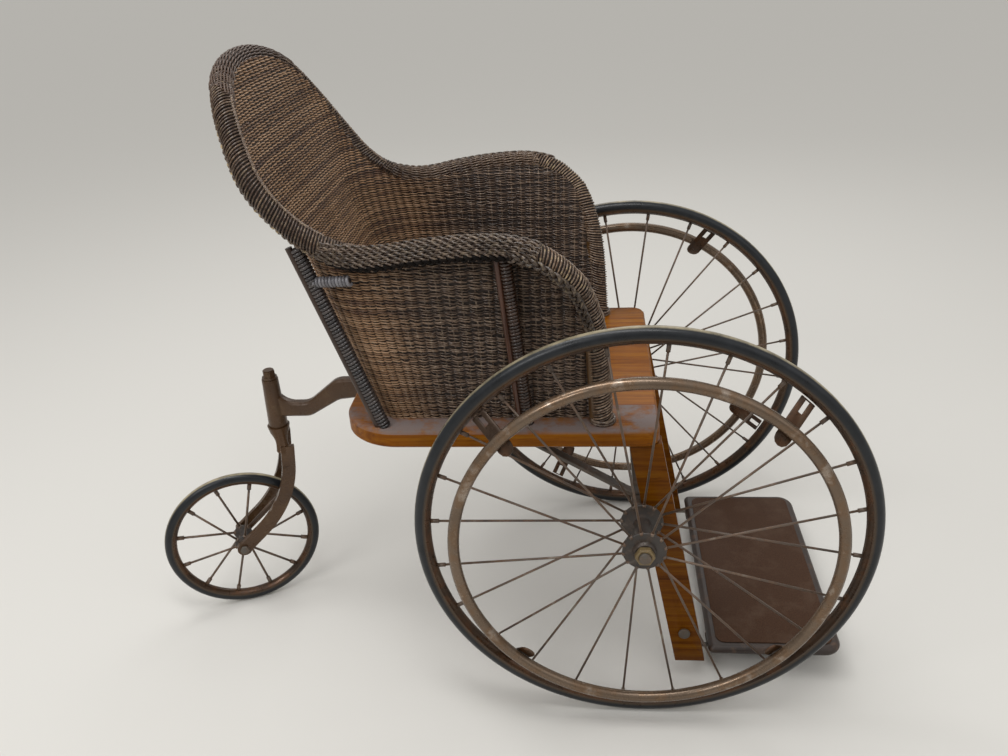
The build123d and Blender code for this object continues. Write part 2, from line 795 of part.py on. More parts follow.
with BuildPart() as wicker_tub:
    for level in tub_levels:
        half_width = tub_half_width + level.flare
        with BuildSketch(Plane.XY.offset(seat_top + level.up)):
            with Locations((axle_x + (tub_front + tub_back_x(level.up)) / 2, 0)):
                Rectangle(tub_front - tub_back_x(level.up), 2 * half_width)
            fillet(vertices().group_by(Axis.X)[0], radius=level.corner)
    loft(ruled=True)
    for level in tub_levels:
        inner_back = tub_back_x(level.up) + tub_thickness
        inner_front = tub_front + tub_thickness
        inner_half = tub_half_width + level.flare - tub_thickness
        with BuildSketch(Plane.XY.offset(seat_top + level.up)):
            with Locations((axle_x + (inner_front + inner_back) / 2, 0)):
                Rectangle(inner_front - inner_back, 2 * inner_half)
            fillet(vertices().group_by(Axis.X)[0], radius=level.corner - tub_thickness)
    loft(ruled=True, mode=Mode.SUBTRACT)
    # The wall is trimmed along the rim's centreline, seen from the side for the arms
    top_up = tub_levels[-1].up + tub_thickness
    with BuildSketch(side_plane(0)):
        with BuildLine():
            side_points = [(point.forward, seat_top + point.up) for point in arm_rim]
            last_x = side_points[-1][0]
            Polyline(
                *side_points,
                (last_x, seat_top + top_up),
                (seat_front, seat_top + top_up),
                (seat_front, seat_top),
                close=True,
            )
        make_face()
    extrude(amount=2 * tub_full_half, both=True, mode=Mode.SUBTRACT)
    # and seen from the front for the arched back
    with BuildSketch(Plane(origin=(axle_x + tub_front, 0, seat_top), x_dir=(0, 1, 0), z_dir=(-1, 0, 0))):
        with BuildLine():
            arch = [(tub_half_width + point.flare, -point.up) for point in arm_rim[-1:] + back_rim]
            far = 2 * tub_full_half
            arch_outline = [(far, arch[0][1])] + arch
            arch_outline += [(-out, up) for out, up in reversed(arch)]
            arch_outline += [(-far, arch[0][1]), (-far, -top_up), (far, -top_up)]
            Polyline(*arch_outline, close=True)
        make_face()
    extrude(amount=2 * -tub_back, mode=Mode.SUBTRACT)
    # The rolled rim itself, from the right front foot over the back to the left front foot
    with BuildLine() as rim_line:
        right_path = [tub_place(point, -1) for point in right_rim]
        left_path = [tub_place(point, 1) for point in reversed(right_rim)]
        rim_path = right_path + left_path
        FilletPolyline(*rim_path, radius=bend_radii(rim_path))
    with BuildSketch(Plane(origin=rim_line.line @ 0, z_dir=rim_line.line % 0)):
        RegularPolygon(rim_roll_diameter / 2, rim_roll_sides)
    sweep(path=rim_line.line)
    # The feet of the rim stand flat on the seat
    with Locations((seat_middle, 0, seat_top - rim_roll_diameter)):
        Box(
            2 * (seat_front - seat_rear),
            4 * seat_half_width,
            2 * rim_roll_diameter,
            mode=Mode.SUBTRACT,
        )
save(wicker_tub, "wicker_tub")

# Wrapped posts outside the tub: foot and top, forward of the axle, flare, above the seat
Post = namedtuple("Post", "name foot top")
posts = (
    Post("rear", RimPoint(-406, 21, 0), RimPoint(-504, 19, 297)),
    Post("middle", RimPoint(-177, 13.5, 0), RimPoint(-197, 40.2, 279.5)),
)
rear_posts = {}
for side_name, side in SIDES:
    for post_row in posts:
        with BuildPart() as post:
            foot = tub_place(post_row.foot, side)
            lean = tub_place(post_row.top, side) - foot
            with BuildSketch(Plane.XY.offset(foot.Z)):
                with Locations((foot.X, foot.Y)):
                    RegularPolygon(post_diameter / 2, small_sides)
            extrude(amount=lean.length, dir=lean)
        save(post, f"post_{post_row.name}_{side_name}")
        if post_row.name == "rear":
            rear_posts[side] = post.part

# Short wrapped braces between the rear posts and the sides of the tub
brace_back = RimPoint(-487, 19, 243)
brace_front = RimPoint(-424, 33, 249)
with BuildPart() as braces:
    for side_name, side in SIDES:
        brace_start = tub_place(brace_back, side)
        brace_end = tub_place(brace_front, side)
        with BuildSketch(Plane(origin=brace_start, z_dir=brace_end - brace_start)):
            RegularPolygon(brace_diameter / 2, small_sides)
        extrude(amount=(brace_end - brace_start).length)
        add(rear_posts[side], mode=Mode.SUBTRACT)
save(braces, "braces")
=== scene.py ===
"""Looks of an antique wicker invalid chair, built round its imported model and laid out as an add-on."""

import json
from collections import namedtuple
from math import cos, pi, radians, sin, tan

import bmesh
import bpy
import numpy as np
from bpy.props import FloatProperty, FloatVectorProperty, IntProperty, PointerProperty
from mathutils import Matrix, Vector


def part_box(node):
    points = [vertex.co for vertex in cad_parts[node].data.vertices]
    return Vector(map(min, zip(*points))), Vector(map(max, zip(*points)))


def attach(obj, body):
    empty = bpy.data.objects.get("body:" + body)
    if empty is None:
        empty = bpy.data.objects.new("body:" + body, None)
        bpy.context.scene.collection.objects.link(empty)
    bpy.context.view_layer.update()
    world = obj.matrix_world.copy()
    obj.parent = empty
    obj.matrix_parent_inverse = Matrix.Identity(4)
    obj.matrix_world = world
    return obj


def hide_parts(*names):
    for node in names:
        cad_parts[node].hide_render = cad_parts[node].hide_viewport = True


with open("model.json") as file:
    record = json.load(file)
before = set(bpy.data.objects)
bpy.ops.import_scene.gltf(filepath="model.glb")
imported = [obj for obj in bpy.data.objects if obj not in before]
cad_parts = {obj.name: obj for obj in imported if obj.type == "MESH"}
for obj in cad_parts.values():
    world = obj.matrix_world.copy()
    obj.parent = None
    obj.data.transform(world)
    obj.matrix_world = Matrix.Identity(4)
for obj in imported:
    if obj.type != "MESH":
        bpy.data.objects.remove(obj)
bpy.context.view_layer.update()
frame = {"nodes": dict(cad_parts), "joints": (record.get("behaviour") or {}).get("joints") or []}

bl_info = {
    "name": "Wicker invalid chair",
    "version": (1, 0, 0),
    "blender": (4, 5, 0),
    "location": "3D View > Sidebar > Chair",
    "description": "Weaves, wraps, varnishes and lights an antique wicker invalid chair",
    "category": "Object",
}

MM = 0.001
SIDES = (("right", -1), ("left", 1))
NODES = frame["nodes"]
JOINTS = {joint["name"]: joint for joint in frame["joints"]}


def middle(node):
    """Middle of a node's box."""
    low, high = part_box(node)
    return (low + high) / 2


# Places read from the frame, in metres
AXLE = middle("axle")
SEAT_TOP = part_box("seat_rail_front")[1].z
CASTER = Vector(JOINTS["caster_wheel_spin"]["pos_m"])
CASTER_AXLE = Vector(JOINTS["caster_wheel_spin"]["axis"])

# The tub's lines repeat the model's: millimetres forward of the axle, out from the middle and above the seat
RIM_POINTS = (
    (-60, 217, 0),
    (-66, 219, 150),
    (-85, 237, 215),
    (-104, 255, 256),
    (-166, 256, 302),
    (-296, 247, 297),
    (-411, 232, 275),
    (-491, 230, 312),
    (-546, 237, 381),
    (-573, 208, 437),
    (-604, 149, 505),
    (-622, 57, 534),
)
TUB_FRONT = -60
TUB_BACK = -430
BACK_LEAN = radians(18.3)
TUB_WALL = 12
# Height above the seat, half width and corner radius of the wall's outer face
TUB_LEVELS = ((0, 207, 50), (276, 234, 110), (381, 302, 110), (565, 302, 110))
# How far along the foot and the rim each stake stands, as shares of half their lengths
STAKE_FEET = (0.0, 0.113, 0.30, 0.49, 0.653, 0.817, 1.0)
STAKE_TOPS = (0.14, 0.27, 0.37, 0.49, 0.626, 0.817, 1.0)
REAR_POST = ((-406, 228, 0), (-504, 226, 297))
MIDDLE_POST = ((-177, 220.5, 0), (-197, 247.2, 279.5))
BRACE = ((-487, 226, 243), (-424, 240, 249))


class WickerSettings(bpy.types.PropertyGroup):
    """Sizes of the woven tub."""

    row_pitch: FloatProperty(
        name="Row pitch", description="Height of one twined row", default=4.2 * MM, unit="LENGTH")
    strand: FloatProperty(
        name="Strand", description="Radius of a weaving strand", default=1.4 * MM, unit="LENGTH")
    stake: FloatProperty(
        name="Stake", description="Radius of an upright stake", default=1.6 * MM, unit="LENGTH")
    weave_depth: FloatProperty(
        name="Weave depth", description="How far a strand swings over a stake",
        default=2.6 * MM, unit="LENGTH")
    slant: FloatProperty(
        name="Slant", description="Rise of a strand where it crosses its pair",
        default=0.8 * MM, unit="LENGTH")
    waver: FloatProperty(name="Waver", description="Unevenness of a row", default=2.6 * MM, unit="LENGTH")
    arm_stakes: IntProperty(name="Arm stakes", description="Stakes along one arm", default=16)
    back_stakes: IntProperty(name="Back stakes", description="Stakes along half of the back", default=25)
    roll: FloatProperty(name="Roll", description="Radius of the rim's core", default=14.4 * MM, unit="LENGTH")
    wrap: FloatProperty(
        name="Wrap", description="Radius of a strand laid over the rim", default=1.35 * MM, unit="LENGTH")
    wrap_pitch: FloatProperty(
        name="Wrap pitch", description="Spacing of the strands over the rim",
        default=4.9 * MM, unit="LENGTH")
    coil_pitch: FloatProperty(
        name="Coil pitch", description="Spacing of the turns on a post", default=5.6 * MM, unit="LENGTH")


class WoodSettings(bpy.types.PropertyGroup):
    """Sizes of the wooden parts' finish."""

    grain: FloatProperty(
        name="Grain", description="Width of a band of grain", default=7.0 * MM, unit="LENGTH")
    edge: FloatProperty(name="Edge", description="Rounding of a sawn edge", default=2.5 * MM, unit="LENGTH")


class MetalSettings(bpy.types.PropertyGroup):
    """Sizes of the metal fittings."""

    wire: FloatProperty(
        name="Wire", description="Radius of a main wheel's spoke", default=1.9 * MM, unit="LENGTH")
    nipple: FloatProperty(
        name="Nipple", description="Length of a spoke nipple", default=13.0 * MM, unit="LENGTH")
    rivet: FloatProperty(name="Rivet", description="Radius of a rivet head", default=4.0 * MM, unit="LENGTH")
    edge: FloatProperty(name="Edge", description="Rounding of a forged edge", default=1.2 * MM, unit="LENGTH")


class StageSettings(bpy.types.PropertyGroup):
    """Camera, floor and lamps."""

    camera: FloatVectorProperty(
        name="Camera", description="Place of the lens", default=(0.202819, -1.436768, 1.203234),
        subtype="TRANSLATION")
    yaw: FloatProperty(name="Yaw", description="Turn to the left", default=0.112, subtype="ANGLE")
    pitch: FloatProperty(name="Pitch", description="Tilt downwards", default=0.465, subtype="ANGLE")
    roll: FloatProperty(name="Roll", description="Lean of the picture", default=-0.060, subtype="ANGLE")
    lens: FloatProperty(
        name="Lens", description="Focal length on a 36 mm frame", default=31.93, subtype="DISTANCE_CAMERA")
    floor: FloatProperty(name="Floor", description="Half the floor's width", default=60.0, unit="LENGTH")


def linear(text):
    """An sRGB hex value as a linear colour."""
    channels = [int(text[i:i + 2], 16) / 255 for i in (1, 3, 5)]
    return tuple(c / 12.92 if c <= 0.04045 else ((c + 0.055) / 1.055) ** 2.4 for c in channels) + (1.0,)


def add(tree, kind, *inputs, output=0, stops=(), **settings):
    """Add a node with its settings and a ramp's stops, set or link its inputs, and give one of its outputs.

    Inputs come in their own order, where None leaves one as it is, or as a dictionary of names or numbers.
    A kind without the word Node is a shader node. With None for the output, the node itself is given.
    """
    node = tree.nodes.new(kind if "Node" in kind else f"ShaderNode{kind}")
    for name, value in settings.items():
        setattr(node, name, value)
    while stops and len(stops) > len(node.color_ramp.elements):
        node.color_ramp.elements.new(0.5)
    for index, (position, colour) in enumerate(stops):
        element = node.color_ramp.elements[index]
        element.position = position
        element.color = linear(colour)
    named = inputs[0] if inputs and isinstance(inputs[0], dict) else dict(enumerate(inputs))
    for name, value in named.items():
        if isinstance(value, bpy.types.NodeSocket):
            tree.links.new(value, node.inputs[name])
        elif value is not None:
            node.inputs[name].default_value = value
    return node if output is None else node.outputs[output]


def new_material(name, **fixed):
    """A material with its shader's fixed values set, and its Object coordinates."""
    material = bpy.data.materials.new(name)
    material.use_nodes = True
    tree = material.node_tree
    shader = tree.nodes["Principled BSDF"]
    for label, value in fixed.items():
        shader.inputs[label.replace("_", " ")].default_value = value
    place = add(tree, "TexCoord", output="Object")
    return material, tree, shader, place


def facing_up(tree):
    """How far a face looks upwards, from 0 to 1."""
    normal = add(tree, "NewGeometry", output="Normal")
    up = add(tree, "SeparateXYZ", {0: normal}, output="Z")
    return add(tree, "MapRange", up, 0.3, 0.95)


# A noise takes its place, patches to the metre, detail and roughness
def stained_willow():
    """Stained willow: grey brown outside, warmer and painted lighter inside the back, painted shade in the
    hollows, crests rubbed pale and painted as highlights, chipped to cream.
    """
    material, tree, shader, place = new_material("stained_willow", Specular_IOR_Level=0.45)
    patches = add(tree, "TexNoise", place, None, 1 / (60 * MM), 4.0, 0.55)
    flecks = add(tree, "TexNoise", place, None, 1 / (5 * MM), 2.0, 0.55)
    tone = add(tree, "Attribute", output="Fac", attribute_name="tone")
    shade = add(
        tree, "Math", add(tree, "Math", tone, 0.45, operation="MULTIPLY"),
        add(tree, "Math", patches, 0.55, operation="MULTIPLY"), operation="ADD")
    outside = add(tree, "ValToRGB", shade, stops=((0.25, "#2b2019"), (0.5, "#4b3b31"), (0.8, "#6d5b4e")))
    # The back's ramp is a warmer stain, and lighter as painted light where the back faces the lamps
    inside = add(tree, "ValToRGB", shade, stops=((0.25, "#5f4230"), (0.5, "#906d4c"), (0.8, "#b08d6c")))
    warm = add(tree, "Attribute", output="Fac", attribute_name="warm")
    body = add(tree, "Mix", {0: warm, 6: outside, 7: inside}, output=2, data_type="RGBA")
    crest = add(tree, "Attribute", output="Fac", attribute_name="crest")
    # Painted shade: where the crest is low, between the stakes, the colour is mixed towards near black
    share = add(tree, "MapRange", crest, 0.8, 0.1, 0.0, 0.5)
    body = add(tree, "Mix", {0: share, 6: body, 7: linear("#150e0a")}, output=2, data_type="RGBA")
    # The crests are rubbed pale: partly wear, partly a painted highlight
    rubbed = add(
        tree, "Math", add(tree, "MapRange", crest, 0.8, 1.0), add(tree, "MapRange", flecks, 0.42, 0.68),
        operation="MULTIPLY")
    pale = add(tree, "MapRange", tone, -0.4, 0.6, 0.08, 0.5)
    share = add(tree, "Math", rubbed, pale, operation="MULTIPLY")
    lit = add(tree, "Mix", {0: share, 6: body, 7: linear("#b09c87")}, output=2, data_type="RGBA")
    chipped = add(tree, "MapRange", add(tree, "TexNoise", place, None, 1 / (7 * MM), 3.0, 0.55), 0.55, 0.63)
    wear = add(tree, "Attribute", output="Fac", attribute_name="wear")
    chips = add(tree, "Math", wear, chipped, operation="MULTIPLY")
    colour = add(tree, "Mix", {0: chips, 6: lit, 7: linear("#cdb68c")}, output=2, data_type="RGBA")
    tree.links.new(colour, shader.inputs["Base Color"])
    dull = add(tree, "Math", warm, 0.3, operation="MULTIPLY")
    rough = add(tree, "Math", add(tree, "MapRange", patches, 0.3, 0.7, 0.16, 0.28), dull, operation="ADD")
    tree.links.new(rough, shader.inputs["Roughness"])
    grit = add(tree, "TexNoise", place, None, 1 / (1.6 * MM), 2.0, 0.55)
    relief = add(tree, "Bump", {"Height": grit, "Distance": 0.12 * MM, "Strength": 0.5})
    tree.links.new(relief, shader.inputs["Normal"])
    return material


def bare_stick(name, dark, light):
    """A bare varnished stick beside the wrapped cane: smooth brown with faint streaks along it."""
    material, tree, shader, place = new_material(name, Roughness=0.38, Coat_Weight=0.05)
    laid = add(tree, "Mapping", place, None, None, (1.0, 1.0, 0.08))
    streaks = add(tree, "TexNoise", laid, None, 1 / (5 * MM), 4.0, 0.6)
    colour = add(tree, "ValToRGB", streaks, stops=((0.3, dark), (0.7, light)))
    tree.links.new(colour, shader.inputs["Base Color"])
    return material


def shadowed_willow():
    """Painted shade deep in the weave: almost black brown, for what shows only as shade between the strands.
    """
    material, tree, shader, place = new_material("shadowed_willow", Roughness=0.8)
    cloud = add(tree, "TexNoise", place, None, 1 / (6 * MM), 3.0, 0.55)
    colour = add(tree, "ValToRGB", cloud, stops=((0.3, "#150e0a"), (0.7, "#2a1d15")))
    tree.links.new(colour, shader.inputs["Base Color"])
    return material


def lacquered_cane(name, dark, light, thin, gloss=0.4):
    """Lacquered binding cane: glossy, each turn of its own shade, browner where the lacquer is thin."""
    material, tree, shader, place = new_material(
        name, Specular_IOR_Level=gloss, Coat_Weight=gloss, Coat_Roughness=0.18)
    worn = add(tree, "MapRange", add(tree, "TexNoise", place, None, 1 / (30 * MM), 4.0, 0.55), 0.48, 0.72)
    tone = add(tree, "Attribute", output="Fac", attribute_name="tone")
    base = add(tree, "ValToRGB", tone, stops=((0.1, dark), (0.9, light)))
    share = add(tree, "Math", worn, 0.4, operation="MULTIPLY")
    base = add(tree, "Mix", {0: share, 6: base, 7: linear(thin)}, output=2, data_type="RGBA")
    tree.links.new(base, shader.inputs["Base Color"])
    cloud = add(tree, "TexNoise", place, None, 1 / (12 * MM), 3.0, 0.55)
    rough = add(tree, "MapRange", cloud, 0.3, 0.7, 0.2, 0.34)
    tree.links.new(rough, shader.inputs["Roughness"])
    grit = add(tree, "TexNoise", place, None, 1 / (2 * MM), 3.0, 0.55)
    relief = add(tree, "Bump", {"Height": grit, "Distance": 0.1 * MM, "Strength": 0.5})
    tree.links.new(relief, shader.inputs["Normal"])
    return material


def varnished_oak(name, grain_turn, grain, dusty, darker=0.0):
    """Varnished hardwood: orange brown with long darker grain, dull grey where dust and wear sit on top."""
    material, tree, shader, place = new_material(name, Specular_IOR_Level=0.1)
    along = (0.035, 1.0, 1.0)
    laid = add(tree, "Mapping", place, None, grain_turn, along)
    bands = add(tree, "TexNoise", laid, None, 1 / grain, 5.0, 0.6)
    laid = add(tree, "Mapping", place, None, grain_turn, (0.05, 1.0, 1.0))
    pores = add(tree, "TexNoise", laid, None, 1 / (1.1 * MM), 2.0, 0.5)
    clouds = add(tree, "TexNoise", place, None, 1 / (110 * MM), 3.0, 0.55)
    wood = add(tree, "ValToRGB", bands, stops=((0.25, "#552a05"), (0.5, "#7f4806"), (0.75, "#94600f")))
    share = add(tree, "MapRange", pores, 0.58, 0.75, 0.0, 0.55)
    wood = add(tree, "Mix", {0: share, 6: wood, 7: linear("#331a07")}, output=2, data_type="RGBA")
    share = add(tree, "MapRange", clouds, 0.45, 0.75, 0.0, 0.45)
    wood = add(tree, "Mix", {0: share, 6: wood, 7: linear("#59310a")}, output=2, data_type="RGBA")
    wood = add(tree, "Mix", {0: darker, 6: wood, 7: linear("#1c0d02")}, output=2, data_type="RGBA")
    cloud = add(tree, "TexNoise", place, None, 1 / (45 * MM), 6.0, 0.7)
    scuffs = add(tree, "MapRange", cloud, 0.62 - 0.3 * dusty, 0.82 - 0.3 * dusty)
    settled = add(tree, "Math", facing_up(tree), scuffs, operation="MULTIPLY")
    dust = add(tree, "Math", settled, 0.2 + 0.8 * dusty, operation="MULTIPLY")
    colour = add(tree, "Mix", {0: dust, 6: wood, 7: linear("#736a68")}, output=2, data_type="RGBA")
    tree.links.new(colour, shader.inputs["Base Color"])
    tree.links.new(add(tree, "MapRange", dust, 0.0, 0.5, 0.32, 0.65), shader.inputs["Roughness"])
    relief = add(tree, "Bump", {"Height": pores, "Distance": 0.12 * MM, "Strength": 0.5})
    tree.links.new(relief, shader.inputs["Normal"])
    return material


def painted_board():
    """Dark painted board edge: brown black, rubbed to wood along the corners."""
    material, tree, shader, place = new_material("painted_board")
    rubbed = add(tree, "MapRange", add(tree, "TexNoise", place, None, 1 / (24 * MM), 6.0, 0.7), 0.55, 0.7)
    cloud = add(tree, "TexNoise", place, None, 1 / (60 * MM), 3.0, 0.55)
    base = add(tree, "ValToRGB", cloud, stops=((0.3, "#241c18"), (0.7, "#3a2c24")))
    share = add(tree, "Math", rubbed, 0.5, operation="MULTIPLY")
    base = add(tree, "Mix", {0: share, 6: base, 7: linear("#6b5241")}, output=2, data_type="RGBA")
    tree.links.new(base, shader.inputs["Base Color"])
    tree.links.new(add(tree, "MapRange", rubbed, 0.0, 1.0, 0.45, 0.65), shader.inputs["Roughness"])
    grit = add(tree, "TexNoise", place, None, 1 / (3 * MM), 3.0, 0.55)
    relief = add(tree, "Bump", {"Height": grit, "Distance": 0.2 * MM, "Strength": 0.4})
    tree.links.new(relief, shader.inputs["Normal"])
    return material


def brown_linoleum():
    """Worn linoleum: matt red brown with fine mottling, scuffed grey by shoes."""
    material, tree, shader, place = new_material("brown_linoleum", Specular_IOR_Level=0.12)
    mottle = add(tree, "TexNoise", place, None, 1 / (2.2 * MM), 3.0, 0.55)
    scuffs = add(tree, "MapRange", add(tree, "TexNoise", place, None, 1 / (45 * MM), 6.0, 0.65), 0.5, 0.75)
    base = add(tree, "ValToRGB", mottle, stops=((0.3, "#372418"), (0.7, "#4c3424")))
    share = add(tree, "Math", scuffs, 0.35, operation="MULTIPLY")
    base = add(tree, "Mix", {0: share, 6: base, 7: linear("#6b5a4d")}, output=2, data_type="RGBA")
    tree.links.new(base, shader.inputs["Base Color"])
    tree.links.new(add(tree, "MapRange", scuffs, 0.0, 1.0, 0.5, 0.72), shader.inputs["Roughness"])
    relief = add(tree, "Bump", {"Height": mottle, "Distance": 0.15 * MM, "Strength": 0.5})
    tree.links.new(relief, shader.inputs["Normal"])
    return material


def aged_rubber():
    """Aged tyre rubber: blue black, chalky on the tread and brown with dust beside the rim."""
    material, tree, shader, place = new_material("aged_rubber", Specular_IOR_Level=0.35)
    across = add(tree, "Attribute", output="Fac", attribute_name="across")
    patches = add(tree, "TexNoise", place, None, 1 / (40 * MM), 5.0, 0.65)
    base = add(tree, "ValToRGB", patches, stops=((0.3, "#121417"), (0.7, "#212428")))
    tread = add(
        tree, "Math", add(tree, "MapRange", across, 0.46, 0.49),
        add(tree, "MapRange", patches, 0.35, 0.6, 0.3, 1.0), operation="MULTIPLY")
    share = add(tree, "Math", tread, 0.8, operation="MULTIPLY")
    chalky = add(tree, "Mix", {0: share, 6: base, 7: linear("#a89c80")}, output=2, data_type="RGBA")
    foot = add(tree, "Math", add(tree, "MapRange", across, 0.16, 0.02), 0.6, operation="MULTIPLY")
    colour = add(tree, "Mix", {0: foot, 6: chalky, 7: linear("#6a5236")}, output=2, data_type="RGBA")
    tree.links.new(colour, shader.inputs["Base Color"])
    tree.links.new(add(tree, "MapRange", patches, 0.3, 0.7, 0.24, 0.38), shader.inputs["Roughness"])
    grit = add(tree, "TexNoise", place, None, 1 / (3 * MM), 4.0, 0.55)
    relief = add(tree, "Bump", {"Height": grit, "Distance": 0.25 * MM, "Strength": 0.4})
    tree.links.new(relief, shader.inputs["Normal"])
    return material


def worn_steel(name, paint, bare, rust, size, roughness, metal=0.55, sheen=0.15):
    """Old enamel over steel: worn to bare metal in patches, with rust at the edges of the wear."""
    material, tree, shader, place = new_material(name)
    patches = add(tree, "TexNoise", place, None, 1 / size, 6.0, 0.65)
    worn = add(tree, "MapRange", patches, 0.56, 0.70, 0.0, 0.8)
    rusty = add(
        tree, "Math", add(tree, "MapRange", patches, 0.46, 0.58),
        add(tree, "Math", 1.0, worn, operation="SUBTRACT"), operation="MULTIPLY")
    cloud = add(tree, "TexNoise", place, None, 1 / (90 * MM), 3.0, 0.55)
    shade = add(tree, "ValToRGB", cloud, stops=((0.3, paint[0]), (0.7, paint[1])))
    share = add(tree, "Math", rusty, 0.55, operation="MULTIPLY")
    coloured = add(tree, "Mix", {0: share, 6: shade, 7: linear(rust)}, output=2, data_type="RGBA")
    colour = add(tree, "Mix", {0: worn, 6: coloured, 7: linear(bare)}, output=2, data_type="RGBA")
    tree.links.new(colour, shader.inputs["Base Color"])
    tree.links.new(add(tree, "MapRange", worn, 0.0, 1.0, sheen, metal), shader.inputs["Metallic"])
    cloud = add(tree, "TexNoise", place, None, 1 / (14 * MM), 4.0, 0.55)
    rough = add(tree, "MapRange", cloud, 0.3, 0.7, roughness - 0.1, roughness + 0.12)
    tree.links.new(rough, shader.inputs["Roughness"])
    grit = add(tree, "TexNoise", place, None, 1 / (4 * MM), 4.0, 0.55)
    relief = add(tree, "Bump", {"Height": grit, "Distance": 0.12 * MM, "Strength": 0.5})
    tree.links.new(relief, shader.inputs["Normal"])
    return material


class Finishes:
    """The chair's materials, each made once."""

    made = {}

    @classmethod
    def get(cls, name):
        if name not in cls.made:
            cls.made[name] = cls.makers()[name]()
        return cls.made[name]

    @staticmethod
    def makers():
        grain = bpy.context.scene.chair_wood.grain
        return {
            "willow": stained_willow,
            "willow_core": shadowed_willow,
            "cane": lambda: lacquered_cane("lacquered_cane", "#282526", "#423c3b", "#564a42"),
            # Painted shade: the arm's plait is near black for the shadow under the roll
            "black_cane": lambda: lacquered_cane(
                "black_lacquered_cane", "#0e0b0a", "#1c1714", "#261d17", 0.05),
            "brown_cane": lambda: lacquered_cane("brown_lacquered_cane", "#24160f", "#3a271c", "#4f3726"),
            "pale_cane": lambda: lacquered_cane("pale_worn_cane", "#5c5a5e", "#7a787c", "#6a6058"),
            "dark_stick": lambda: bare_stick("dark_willow_stick", "#2b1d15", "#412e22"),
            "red_stick": lambda: bare_stick("red_brown_stick", "#341a0d", "#4f2c18"),
            "gold_stick": lambda: bare_stick("golden_brown_stick", "#3f2a14", "#5e4322"),
            "oak_along": lambda: varnished_oak("varnished_oak_along", (0, 0, 0), grain, 0.9),
            "oak_clean": lambda: varnished_oak("varnished_oak_clean", (0, 0, 0), grain, 0.1),
            "oak_across": lambda: varnished_oak("varnished_oak_across", (0, 0, radians(90)), grain, 0.0),
            "oak_leg": lambda: varnished_oak("varnished_oak_leg", (0, radians(79), 0), grain, 0.0, 0.35),
            "board": painted_board,
            "linoleum": brown_linoleum,
            "rubber": aged_rubber,
            "rim": lambda: worn_steel(
                "enamelled_rim_steel", ("#33251a", "#453222"), "#5c4b3b", "#5f3a1b", 38 * MM, 0.3, 0.7, 0.4),
            "hand_rim": lambda: worn_steel(
                "worn_hand_rim_steel", ("#655546", "#786757"), "#a89c90", "#6e4f30",
                45 * MM, 0.24, 0.85, 0.6),
            "spoke": lambda: worn_steel(
                "tarnished_wire", ("#4c4038", "#655649"), "#8d8478", "#6b4a30", 26 * MM, 0.42, 0.7),
            "hub": lambda: worn_steel(
                "oily_cast_iron", ("#2b2724", "#3d3733"), "#6a645e", "#4a382b", 18 * MM, 0.42),
            "enamel": lambda: worn_steel(
                "brown_enamel_iron", ("#3f2b1a", "#513922"), "#5e4a34", "#4c331b", 30 * MM, 0.3, 0.4, 0.2),
            "iron": lambda: worn_steel(
                "grey_forged_iron", ("#4d4842", "#625c54"), "#8a837a", "#5e4632", 30 * MM, 0.5, 0.6),
            "brass": lambda: worn_steel(
                "tarnished_brass", ("#6b5b3e", "#7d6b49"), "#b39a68", "#57442a", 12 * MM, 0.38, 0.8),
        }


def new_tree(name, *inputs):
    """A node tree with named inputs, and the sockets that give them."""
    tree = bpy.data.node_groups.new(name, "GeometryNodeTree")
    for label, kind in (("Geometry", "Geometry"),) + inputs:
        tree.interface.new_socket(label, in_out="INPUT", socket_type="NodeSocket" + kind)
    tree.interface.new_socket("Geometry", in_out="OUTPUT", socket_type="NodeSocketGeometry")
    return tree, add(tree, "NodeGroupInput", output=None).outputs


def close_tree(tree, geometry, material):
    """End a tree with realized instances and a material."""
    whole = add(tree, "GeometryNodeRealizeInstances", {"Geometry": geometry})
    whole = add(tree, "GeometryNodeSetMaterial", {"Geometry": whole, "Material": material})
    add(tree, "NodeGroupOutput", {0: whole}, output=None)


def close_rods(tree, curve, radius, sides, material):
    """End a tree with round rods along its curves."""
    section = add(
        tree, "GeometryNodeCurvePrimitiveCircle", {"Resolution": sides, "Radius": radius}, mode="RADIUS")
    rods = add(tree, "GeometryNodeCurveToMesh", {
        "Curve": curve, "Profile Curve": section, "Fill Caps": True})
    smooth = add(tree, "GeometryNodeSetShadeSmooth", {0: rods, "Shade Smooth": True})
    close_tree(tree, smooth, material)


